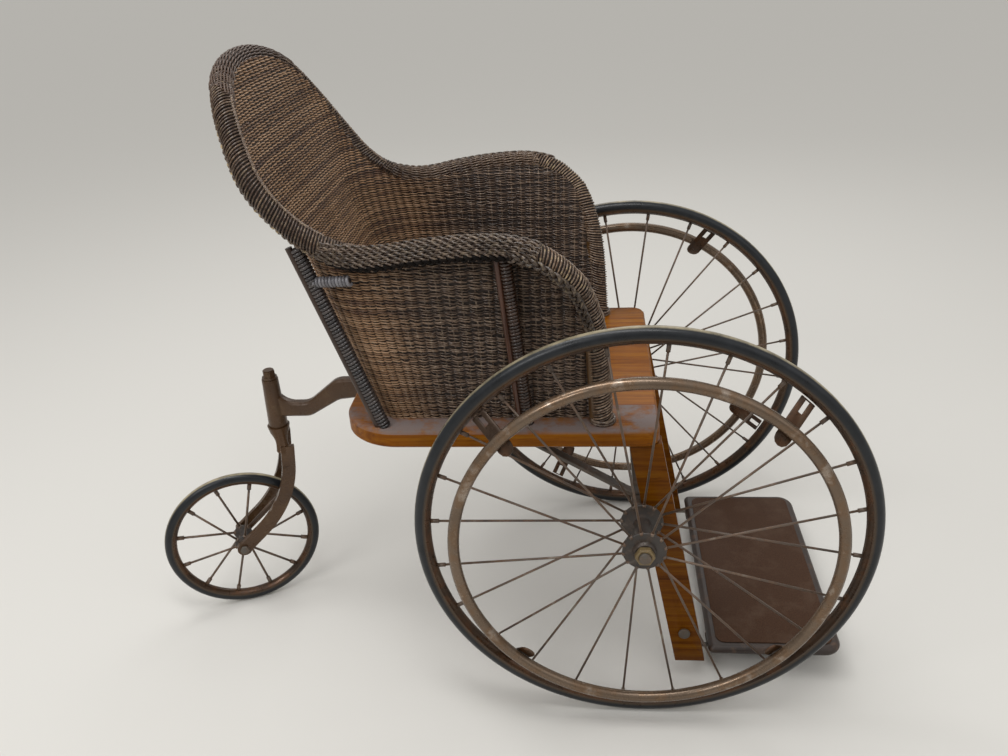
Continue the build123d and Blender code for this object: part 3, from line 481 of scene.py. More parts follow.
def strand_tree():
    """Strands from edge chains: long floats outside the stakes, short bumps inside them, as round rods."""
    tree, given = new_tree(
        "Willow strands", ("Strand radius", "Float"), ("Sides", "Int"), ("Weave depth", "Float"),
        ("Material", "Material"))
    stake = add(tree, "GeometryNodeInputNamedAttribute", {"Name": "stake"}, data_type="FLOAT")
    row = add(tree, "GeometryNodeInputNamedAttribute", {"Name": "row"}, data_type="FLOAT")
    out = add(tree, "GeometryNodeInputNamedAttribute", {"Name": "out"}, data_type="FLOAT_VECTOR")
    along = add(tree, "Math", stake, row, operation="ADD")
    wave = add(tree, "Math", add(tree, "Math", along, pi, operation="MULTIPLY"), operation="COSINE")
    outer = add(tree, "Math", add(tree, "Math", wave, 0.0, operation="MAXIMUM"), 0.35, operation="POWER")
    behind = add(tree, "Math", wave, -1.0, operation="MULTIPLY")
    inner = add(tree, "Math", add(tree, "Math", behind, 0.0, operation="MAXIMUM"), 1.3, operation="POWER")
    swing = add(tree, "Math", outer, inner, operation="SUBTRACT")
    depth = add(tree, "Math", swing, given["Weave depth"], operation="MULTIPLY")
    shift = add(tree, "VectorMath", {0: out, "Scale": depth}, operation="SCALE")
    crest = add(tree, "GeometryNodeStoreNamedAttribute", {
        "Geometry": given["Geometry"], "Name": "crest",
        "Value": add(tree, "Math", swing, operation="ABSOLUTE")}, data_type="FLOAT", domain="POINT")
    moved = add(tree, "GeometryNodeSetPosition", {"Geometry": crest, "Offset": shift})
    curve = add(tree, "GeometryNodeMeshToCurve", {"Mesh": moved})
    close_rods(tree, curve, given["Strand radius"], given["Sides"], given["Material"])
    return tree


def coil_tree():
    """Binding cane wound closely round a straight post."""
    tree, given = new_tree(
        "Wound cane", ("Post radius", "Float"), ("Cane radius", "Float"), ("Pitch", "Float"),
        ("Material", "Material"))
    curve = add(tree, "GeometryNodeMeshToCurve", {"Mesh": given["Geometry"]})
    step = add(tree, "Math", given["Pitch"], 14.0, operation="DIVIDE")
    curve = add(tree, "GeometryNodeResampleCurve", {"Curve": curve, "Length": step}, mode="LENGTH")
    length = add(tree, "GeometryNodeSplineParameter", output="Length")
    turns = add(tree, "Math", length, given["Pitch"], operation="DIVIDE")
    turn = add(tree, "Math", turns, 2 * pi, operation="MULTIPLY")
    tangent = add(tree, "GeometryNodeInputTangent")
    side = add(tree, "VectorMath", {0: tangent, 1: (0, 1, 0)}, operation="CROSS_PRODUCT")
    side = add(tree, "VectorMath", {0: side}, operation="NORMALIZE")
    other = add(tree, "VectorMath", {0: tangent, 1: side}, operation="CROSS_PRODUCT")
    radius = given["Post radius"]
    reach = add(tree, "Math", add(tree, "Math", turn, operation="COSINE"), radius, operation="MULTIPLY")
    first = add(tree, "VectorMath", {0: side, "Scale": reach}, operation="SCALE")
    reach = add(tree, "Math", add(tree, "Math", turn, operation="SINE"), radius, operation="MULTIPLY")
    second = add(tree, "VectorMath", {0: other, "Scale": reach}, operation="SCALE")
    offset = add(tree, "VectorMath", {0: first, 1: second}, operation="ADD")
    wound = add(tree, "Math", add(tree, "Math", turn, 2 * pi, operation="DIVIDE"), operation="FLOOR")
    tone = add(tree, "Math", add(tree, "Math", wound, 0.618, operation="MULTIPLY"), operation="FRACT")
    shaded = add(
        tree, "GeometryNodeStoreNamedAttribute", {"Geometry": curve, "Name": "tone", "Value": tone},
        data_type="FLOAT", domain="POINT")
    coil = add(tree, "GeometryNodeSetPosition", {"Geometry": shaded, "Offset": offset})
    close_rods(tree, coil, given["Cane radius"], 6, given["Material"])
    return tree


def spoke_tree():
    """Wire spokes from the two hub flanges in turn to the middle of the rim, each with its nipple."""
    tree, given = new_tree(
        "Wire spokes", ("Count", "Int"), ("Turn", "Float"), ("Hub radius", "Float"), ("Rim radius", "Float"),
        ("Even flange", "Float"), ("Odd flange", "Float"), ("Wire radius", "Float"),
        ("Nipple length", "Float"), ("Yaw", "Float"), ("Centre", "Vector"), ("Material", "Material"))
    index = add(tree, "GeometryNodeInputIndex")
    share = add(
        tree, "Math", add(tree, "Math", index, 0.5, operation="ADD"), given["Count"], operation="DIVIDE")
    swept = add(tree, "Math", share, 2 * pi, operation="MULTIPLY")
    angle = add(tree, "Math", swept, given["Turn"], operation="ADD")
    across, up = add(tree, "Math", angle, operation="COSINE"), add(tree, "Math", angle, operation="SINE")
    odd = add(tree, "Math", index, 2.0, operation="MODULO")
    apart = add(tree, "Math", given["Odd flange"], given["Even flange"], operation="SUBTRACT")
    moved = add(tree, "Math", odd, apart, operation="MULTIPLY")
    flange = add(tree, "Math", given["Even flange"], moved, operation="ADD")
    hub_end = add(tree, "CombineXYZ", {
        0: add(tree, "Math", across, given["Hub radius"], operation="MULTIPLY"), 1: flange,
        2: add(tree, "Math", up, given["Hub radius"], operation="MULTIPLY")})
    rim_end = add(tree, "CombineXYZ", {
        0: add(tree, "Math", across, given["Rim radius"], operation="MULTIPLY"), 1: 0.0,
        2: add(tree, "Math", up, given["Rim radius"], operation="MULTIPLY")})
    run = add(tree, "VectorMath", {0: rim_end, 1: hub_end}, operation="SUBTRACT")
    length = add(tree, "VectorMath", {0: run}, output="Value", operation="LENGTH")
    turned = add(tree, "FunctionNodeAlignRotationToVector", {"Vector": run}, axis="Z")
    points = add(tree, "GeometryNodePoints", {"Count": given["Count"]})
    wire, nipple = given["Wire radius"], given["Nipple length"]
    way = add(tree, "VectorMath", {0: run}, operation="NORMALIZE")
    inwards = add(tree, "Math", nipple, -1.0, operation="MULTIPLY")
    back = add(tree, "VectorMath", {0: way, "Scale": inwards}, operation="SCALE")
    nipple_end = add(tree, "VectorMath", {0: rim_end, 1: back}, operation="ADD")
    head_length = add(tree, "Math", nipple, 0.35, operation="MULTIPLY")
    joined = add(tree, "GeometryNodeJoinGeometry", output=None)
    # Where each rod starts, its radius in wires and its length: the wire, its nipple and its bent head
    for place, thickness, size in (
        (hub_end, 1.0, length), (nipple_end, 1.75, nipple), (hub_end, 1.9, head_length),
    ):
        radius = add(tree, "Math", wire, thickness, operation="MULTIPLY")
        rod = add(tree, "GeometryNodeMeshCylinder", {"Vertices": 8, "Radius": radius, "Depth": 1.0})
        rod = add(tree, "GeometryNodeTransform", {"Geometry": rod, "Translation": (0, 0, 0.5)})
        set_at = add(tree, "GeometryNodeSetPosition", {"Geometry": points, "Position": place})
        scale = add(tree, "CombineXYZ", {0: 1.0, 1: 1.0, 2: size})
        rods = add(tree, "GeometryNodeInstanceOnPoints", {
            "Points": set_at, "Instance": rod, "Rotation": turned, "Scale": scale})
        tree.links.new(rods, joined.inputs[0])
    yaw = add(tree, "CombineXYZ", {2: given["Yaw"]})
    placed = add(tree, "GeometryNodeTransform", {
        "Geometry": joined.outputs[0], "Translation": given["Centre"], "Rotation": yaw})
    real = add(tree, "GeometryNodeRealizeInstances", {"Geometry": placed})
    smooth = add(tree, "GeometryNodeSetShadeSmooth", {0: real, "Shade Smooth": True})
    close_tree(tree, smooth, given["Material"])
    return tree


def head_tree():
    """Rivet heads on points: a low prism under a dome, standing on each point's facing."""
    tree, given = new_tree(
        "Fastener heads", ("Head radius", "Float"), ("Head height", "Float"), ("Sides", "Int"),
        ("Material", "Material"))
    facing = add(tree, "GeometryNodeInputNamedAttribute", {"Name": "facing"}, data_type="FLOAT_VECTOR")
    turned = add(tree, "FunctionNodeAlignRotationToVector", {"Vector": facing}, axis="Z")
    prism = add(tree, "GeometryNodeMeshCylinder", {
        "Vertices": given["Sides"], "Radius": given["Head radius"], "Depth": given["Head height"]})
    dome = add(tree, "GeometryNodeMeshUVSphere", {"Segments": 14, "Rings": 7, "Radius": 1.0})
    wide = add(tree, "Math", given["Head radius"], 0.84, operation="MULTIPLY")
    tall = add(tree, "Math", given["Head height"], 0.8, operation="MULTIPLY")
    dome_size = add(tree, "CombineXYZ", {0: wide, 1: wide, 2: tall})
    dome = add(tree, "GeometryNodeTransform", {"Geometry": dome, "Scale": dome_size})
    dome = add(tree, "GeometryNodeSetShadeSmooth", {0: dome, "Shade Smooth": True})
    lift = add(tree, "CombineXYZ", {2: add(tree, "Math", given["Head height"], 0.4, operation="MULTIPLY")})
    dome = add(tree, "GeometryNodeTransform", {"Geometry": dome, "Translation": lift})
    head = add(tree, "GeometryNodeJoinGeometry", output=None)
    tree.links.new(prism, head.inputs[0])
    tree.links.new(dome, head.inputs[0])
    placed = add(tree, "GeometryNodeInstanceOnPoints", {
        "Points": given["Geometry"], "Instance": head.outputs[0], "Rotation": turned})
    close_tree(tree, placed, given["Material"])
    return tree


class Trees:
    """The chair's node trees, each built once."""

    made = {}
    makers = {"strands": strand_tree, "coil": coil_tree, "spokes": spoke_tree, "heads": head_tree}

    @classmethod
    def get(cls, name):
        if name not in cls.made:
            cls.made[name] = cls.makers[name]()
        return cls.made[name]


def grow(name, mesh, tree_name, **values):
    """Run a node tree on a mesh and return the result as a plain mesh."""
    tree = Trees.get(tree_name)
    source = bpy.data.objects.new(name, mesh)
    bpy.context.scene.collection.objects.link(source)
    modifier = source.modifiers.new(tree.name, "NODES")
    modifier.node_group = tree
    for item in tree.interface.items_tree:
        key = item.name.replace(" ", "_").lower()
        if item.in_out == "INPUT" and key in values:
            modifier[item.identifier] = values[key]
    bpy.context.view_layer.update()
    graph = bpy.context.evaluated_depsgraph_get()
    result = bpy.data.meshes.new_from_object(source.evaluated_get(graph))
    source.modifiers.remove(modifier)
    bpy.data.objects.remove(source)
    bpy.data.meshes.remove(mesh)
    if not result.polygons:
        raise RuntimeError(f"{name} came out empty")
    result.name = name
    return result


def chains(name, lines, **values):
    """A mesh of open edge chains, with the given values at each point."""
    points = np.vstack(lines)
    starts = np.cumsum([0] + [len(line) for line in lines])
    edges = np.vstack([
        np.column_stack((np.arange(a, b - 1), np.arange(a + 1, b))) for a, b in zip(starts, starts[1:])])
    mesh = bpy.data.meshes.new(name)
    mesh.from_pydata(points.tolist(), edges.tolist(), [])
    for label, parts in values.items():
        data = np.concatenate(parts).astype(np.float32)
        vector = data.ndim == 2
        layer = mesh.attributes.new(label, "FLOAT_VECTOR" if vector else "FLOAT", "POINT")
        layer.data.foreach_set("vector" if vector else "value", data.ravel())
    return mesh


def show(name, mesh, body, slot, material, *nodes):
    """Put a finished mesh in the scene on its body, in place of the nodes that it stands for."""
    if material:
        mesh.materials.clear()
        mesh.materials.append(Finishes.get(material))
    piece = bpy.data.objects.new(name, mesh)
    bpy.context.scene.collection.objects.link(piece)
    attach(piece, body)
    if nodes:
        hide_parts(*nodes)
    return piece


def softened(node, edge, segments=2, crease=35):
    """A copy of a node's mesh with its sharp edges rounded."""
    shape = bmesh.new()
    shape.from_mesh(NODES[node].data)
    bmesh.ops.remove_doubles(shape, verts=shape.verts, dist=0.01 * MM)
    bmesh.ops.dissolve_limit(shape, angle_limit=radians(0.5), verts=shape.verts, edges=shape.edges)
    if edge:
        sharp = [e for e in shape.edges if len(e.link_faces) == 2 and e.calc_face_angle() > radians(crease)]
        bmesh.ops.bevel(shape, geom=sharp, offset=edge, segments=segments, profile=0.5, affect="EDGES",
                        clamp_overlap=True)
    mesh = bpy.data.meshes.new(node)
    shape.to_mesh(mesh)
    shape.free()
    mesh.shade_smooth()
    mesh.set_sharp_from_angle(angle=radians(crease))
    return mesh


def lathe(name, profile, centre, axle, turns=144, across=None):
    """A ring turned from a closed profile of (along the axle, radius) points."""
    axle = np.array(axle, float)
    fore = np.cross(axle, (0, 0, 1))
    angles = np.arange(turns) * 2 * pi / turns
    rays = np.cos(angles)[:, None] * fore + np.sin(angles)[:, None] * np.array((0, 0, 1.0))
    along, radius = np.array(profile, float).T
    points = np.array(centre) + along[None, :, None] * axle + radius[None, :, None] * rays[:, None, :]
    count = len(profile)
    near, far = np.arange(count), (np.arange(count) + 1) % count
    faces = []
    for i in range(turns):
        here, after = i * count, (i + 1) % turns * count
        faces += np.column_stack((here + near, here + far, after + far, after + near)).tolist()
    mesh = bpy.data.meshes.new(name)
    mesh.from_pydata(points.reshape(-1, 3).tolist(), [], faces)
    if across is not None:
        layer = mesh.attributes.new("across", "FLOAT", "POINT")
        layer.data.foreach_set("value", np.tile(across, turns).astype(np.float32))
    shape = bmesh.new()
    shape.from_mesh(mesh)
    bmesh.ops.recalc_face_normals(shape, faces=shape.faces)
    shape.to_mesh(mesh)
    shape.free()
    mesh.shade_smooth()
    mesh.set_sharp_from_angle(angle=radians(40))
    return mesh


def heads(name, points, body, slot, material, radius, height, sides=16):
    """Fastener heads at points, each given with the way that it faces."""
    mesh = bpy.data.meshes.new(name)
    mesh.from_pydata([tuple(place) for place, facing in points], [], [])
    layer = mesh.attributes.new("facing", "FLOAT_VECTOR", "POINT")
    facings = np.array([tuple(facing) for place, facing in points], np.float32)
    layer.data.foreach_set("vector", facings.ravel())
    result = grow(name, mesh, "heads", head_radius=radius, head_height=height, sides=sides,
                  material=Finishes.get(material))
    return show(name, result, body, slot, None)


def tub_points(rows):
    """Rows of (forward, out, up) in millimetres as points of the frame, on the right side."""
    rows = np.atleast_2d(np.array(rows, float))
    return np.column_stack((AXLE.x + rows[:, 0] * MM, -rows[:, 1] * MM, SEAT_TOP + rows[:, 2] * MM))


def smooth_line(points, steps=14):
    """A quadratic spline guided by points, from the first to the last."""
    ends = (points[1:] + points[:-1]) / 2
    starts = np.vstack((points[:1], ends))
    stops = np.vstack((ends, points[-1:]))
    guides = np.vstack(((points[:1] + ends[:1]) / 2, points[1:-1], (ends[-1:] + points[-1:]) / 2))
    t = np.linspace(0, 1, steps, endpoint=False)[:, None]
    spans = [(1 - t) ** 2 * a + 2 * t * (1 - t) * g + t * t * b for a, g, b in zip(starts, guides, stops)]
    return np.vstack(spans + [points[-1:]])


class Line:
    """A line through points, read by its share of the length."""

    def __init__(self, points):
        self.points = points
        steps = np.linalg.norm(np.diff(points, axis=0), axis=1)
        self.shares = np.concatenate(([0], np.cumsum(steps)))
        self.length = self.shares[-1]
        self.shares = self.shares / self.length

    def at(self, share):
        return np.column_stack([np.interp(share, self.shares, self.points[:, i]) for i in range(3)])

    def heading(self, share, step=0.002):
        ahead = self.at(np.clip(share + step, 0, 1)) - self.at(np.clip(share - step, 0, 1))
        return unit(ahead)


def unit(vectors):
    """Vectors of length one."""
    return vectors / np.linalg.norm(vectors, axis=1)[:, None]


def runs_of(mask, least=5):
    """Index runs where a mask holds."""
    inside = np.flatnonzero(mask)
    return [run for run in np.split(inside, np.flatnonzero(np.diff(inside) > 1) + 1) if len(run) >= least]


def rim_line():
    """The rolled rim's centreline, from the right front foot over the back to the left front foot."""
    right = tub_points(RIM_POINTS)
    return Line(smooth_line(np.vstack((right, right[::-1] * (1, -1, 1)))))


class TubWall:
    """The woven wall between the seat and the rim, on the middle of the model's wall."""

    smoothing = 28.0

    def __init__(self, settings):
        self.rim = rim_line()
        self.half_stakes = settings.arm_stakes + settings.back_stakes
        self.stakes = np.linspace(0, self.half_stakes, 4 * self.half_stakes + 1)
        foot = np.interp(self.stakes, (0, settings.arm_stakes, self.half_stakes), (0, STAKE_FEET[3], 1))
        self.rim_shares = np.interp(foot, STAKE_FEET, STAKE_TOPS) / 2
        spot = RimFrame(self.rim, self.rim_shares)
        tops = spot.place - spot.out * (settings.roll - 0.5 * MM)
        self.tops = (tops[:, 2] - SEAT_TOP) / MM
        self.foot_marks = self.mark_of_share(foot)
        marks = np.linspace(0, 3, 301)
        plan = np.column_stack(((tops[:, 0] - AXLE.x) / MM, -tops[:, 1] / MM))
        self.top_marks = np.array([
            marks[np.argmin(np.sum((self.plan(marks, np.full(len(marks), up)) - point) ** 2, axis=1))]
            for up, point in zip(self.tops, plan)])
        self.reaches = plan - self.plan(self.top_marks, self.tops)

    def level(self, up):
        """Half width, corner and back of the wall's middle at heights above the seat, in millimetres."""
        ups, halves, corners = np.array(TUB_LEVELS, float).T
        blur = [(np.interp(up - self.smoothing, ups, row) + 2 * np.interp(up, ups, row)
                 + np.interp(up + self.smoothing, ups, row)) / 4 for row in (halves, corners)]
        back = TUB_BACK - up * tan(BACK_LEAN)
        return blur[0] - TUB_WALL / 2, blur[1] - TUB_WALL / 2, back + TUB_WALL / 2

    def plan(self, mark, up):
        """Places forward and out: mark 0 to 1 along the side, to 2 round the corner, to 3 along the back."""
        half, corner, back = self.level(up)
        turn = np.clip(mark - 1, 0, 1) * pi / 2
        side = TUB_FRONT + (back + corner - TUB_FRONT) * np.clip(mark, 0, 1)
        forward = np.where(mark < 1, side, back + corner - corner * np.sin(turn))
        out = np.where(mark < 2, half - corner + corner * np.cos(turn), (half - corner) * (3 - mark))
        return np.column_stack((forward, out))

    def mark_of_share(self, share):
        """Marks for shares of the wall's foot, by length."""
        half, corner, back = self.level(np.zeros(1))
        runs = np.array((0, TUB_FRONT - back[0] - corner[0], corner[0] * pi / 2, half[0] - corner[0]))
        lengths = np.cumsum(runs)
        return np.interp(share, lengths / lengths[-1], (0, 1, 2, 3))

    def half(self, stake):
        """Stakes counted from the nearer front."""
        return np.minimum(stake, 2 * self.half_stakes - stake)

    def at(self, stake, level):
        """Places on the wall at a stake counted from the right front; level 0 is the seat, 1 the rim."""
        half = self.half(stake)
        up = level * np.interp(half, self.stakes, self.tops)
        foot = np.interp(half, self.stakes, self.foot_marks)
        top = np.interp(half, self.stakes, self.top_marks)
        bend = np.clip((level - 0.6) / 0.4, 0, 1) ** 2
        reach = np.column_stack([np.interp(half, self.stakes, column) for column in self.reaches.T])
        plan = self.plan(foot + (top - foot) * level, up) + reach * bend[:, None]
        place = tub_points(np.column_stack((plan, up)))
        place[:, 1] *= np.where(stake > self.half_stakes, -1, 1)
        return place

    def uphill(self, stake, level):
        """The way up the wall."""
        return unit(self.at(stake, level + 0.01) - self.at(stake, level - 0.01))

    def normal(self, stake, level):
        """The wall's outer facing."""
        along = self.at(stake + 0.05, level) - self.at(stake - 0.05, level)
        return unit(np.cross(self.uphill(stake, level), along))

    def rim_height(self, stake):
        return SEAT_TOP + np.interp(self.half(stake), self.stakes, self.tops) * MM

    def stake_at(self, share):
        """Stakes counted from the right front at shares of the rim."""
        half = np.interp(np.minimum(share, 1 - share), self.rim_shares, self.stakes)
        return np.where(share > 0.5, 2 * self.half_stakes - half, half)


class Strands:
    """Edge chains for a bundle of strands, gathered with the values that each one carries."""

    def __init__(self, name):
        self.name = name
        self.lines = []
        self.values = {key: [] for key in ("out", "stake", "row", "tone", "wear", "warm")}

    def add(self, line, tone, out=None, stake=0.0, row=0.0, wear=0.0, warm=0.0):
        count = len(line)
        self.lines.append(line)
        self.values["out"].append(np.zeros((count, 3)) if out is None else out)
        for key, value in (("stake", stake), ("row", row), ("tone", tone), ("wear", wear), ("warm", warm)):
            self.values[key].append(np.broadcast_to(np.asarray(value, float), count))

    def twine(self, line, across, lift, out, stake, tone, **values):
        """A twined row: two strands that cross between the stakes and cover each on both sides."""
        for strand in (0, 1):
            slant = lift * np.sin(pi * (stake + strand))
            self.add(line + across * slant[:, None], tone, out, stake, strand, **values)

    def finish(self, radius, sides=5, depth=0.0, material="willow", nodes=(), slot="wicker"):
        mesh = chains(self.name, self.lines, **self.values)
        rods = grow(self.name, mesh, "strands", strand_radius=radius, sides=sides, weave_depth=depth,
                    material=Finishes.get(material))
        show(self.name, rods, "chassis", slot, None, *nodes)


class CHAIR_OT_wicker_tub(bpy.types.Operator):
    """Weave the tub's wall: upright stakes with pairs of strands twined round them, row on row"""

    bl_idname = "chair.wicker_tub"
    bl_label = "Woven tub"

    # Where each stake's strands are bent, as shares of the way to the next stake
    bends = (0.0, 0.3, 0.5, 0.7)
    bundles = 3
    top_level = 0.99

    def execute(self, context):
        settings = context.scene.chair_wicker
        wall = TubWall(settings)
        random = np.random.default_rng(11)
        stakes = np.add.outer(np.arange(2 * wall.half_stakes), self.bends).ravel()[1:]
        top = wall.rim_height(stakes)
        rows = []
        for height in np.arange(SEAT_TOP + settings.strand, top.max(), settings.row_pitch):
            level = (height - SEAT_TOP) / (top - SEAT_TOP)
            for run in runs_of(level < self.top_level):
                rows.append((stakes[run], level[run]))
        count = np.cumsum([len(stake) for stake, level in rows])
        ends = count * self.bundles / count[-1]
        for bundle in range(self.bundles):
            share = [row for row, end in zip(rows, ends) if bundle < end <= bundle + 1]
            self.weave(settings, wall, random, bundle, share)
        self.stand_stakes(settings, wall)
        self.fill_core(wall)
        return {"FINISHED"}

    @staticmethod
    def weave(settings, wall, random, bundle, rows):
        strands = Strands(f"wicker_rows_{bundle + 1}")
        for stake, level in rows:
            uphill = wall.uphill(stake, level)
            drift = np.convolve(random.standard_normal(len(stake) + 4), np.full(5, 1 / 5), "valid")
            # Towards the back the rows take the warmer ramp, which is partly painted light
            warm = np.interp(wall.half(stake), (settings.arm_stakes - 2, settings.arm_stakes + 5), (0.1, 1.0))
            line = wall.at(stake, level) + uphill * (settings.waver * drift * (1.1 - 0.7 * warm))[:, None]
            strands.twine(line, uphill, settings.slant, wall.normal(stake, level), stake, random.random(),
                          wear=0.04, warm=warm)
        strands.finish(settings.strand, 4, settings.weave_depth, nodes=() if bundle else ("wicker_tub",))

    @staticmethod
    def stand_stakes(settings, wall):
        strands = Strands("wicker_stakes")
        for stake in range(1, 2 * wall.half_stakes):
            column = np.full(20, float(stake))
            strands.add(wall.at(column, np.linspace(0, 0.99, 20)), 0.4)
        strands.finish(settings.stake, 6)

    @staticmethod
    def fill_core(wall):
        """A thin sheet of painted shade in the middle of the weave closes the view between the strands."""
        stakes = np.linspace(0.1, 2 * wall.half_stakes - 0.1, 130)
        levels = np.linspace(0.0, 0.98, 26)
        points = np.vstack([wall.at(stakes, np.full(len(stakes), level)) for level in levels])
        count = len(stakes)
        faces = [(r * count + c, r * count + c + 1, (r + 1) * count + c + 1, (r + 1) * count + c)
                 for r in range(len(levels) - 1) for c in range(count - 1)]
        sheet = bpy.data.meshes.new("wicker_core")
        sheet.from_pydata(points.tolist(), [], faces)
        source = bpy.data.objects.new("wicker_core", sheet)
        bpy.context.scene.collection.objects.link(source)
        solid = source.modifiers.new("Thickness", "SOLIDIFY")
        solid.thickness = 1.6 * MM
        solid.offset = 0.0
        bpy.context.view_layer.update()
        mesh = bpy.data.meshes.new_from_object(source.evaluated_get(bpy.context.evaluated_depsgraph_get()))
        source.modifiers.remove(solid)
        bpy.data.objects.remove(source)
        mesh.shade_smooth()
        show("wicker_core", mesh, "chassis", "wicker", "willow_core")


class RimFrame:
    """Directions round the rim at a share of its length: along it, out of the tub and down the wall."""

    arm_middle = (-250, 225, 120)
    back_middle = (-520, 0, 300)

    def __init__(self, rim, share):
        self.place = rim.at(share)
        along = rim.heading(share)
        half = 2 * np.minimum(share, 1 - share)
        arm = np.repeat(tub_points(self.arm_middle), len(share), axis=0)
        arm[share > 0.5] *= (1, -1, 1)
        back = np.repeat(tub_points(self.back_middle), len(share), axis=0)
        blend = np.clip((half - 0.52) / 0.22, 0, 1)[:, None]
        towards = arm * (1 - blend) + back * blend - self.place
        self.down = unit(towards - along * np.sum(towards * along, axis=1)[:, None])
        self.out = np.cross(along, self.down)
        centre = tub_points((-250, 0, 150))
        self.out *= np.sign(np.sum(self.out * (self.place - centre), axis=1))[:, None]

    def ray(self, angle):
        """The way out from the centreline: angle 0 into the tub, a quarter turn over the crest."""
        angle = np.broadcast_to(angle, len(self.place))
        return -(self.out * np.cos(angle)[:, None] + self.down * np.sin(angle)[:, None])

    def around(self, radius, angle):
        return self.place + self.ray(angle) * np.broadcast_to(radius, len(self.place))[:, None]


Plait = namedtuple("Plait", "name first last angle radius sway pitch tone wear material")


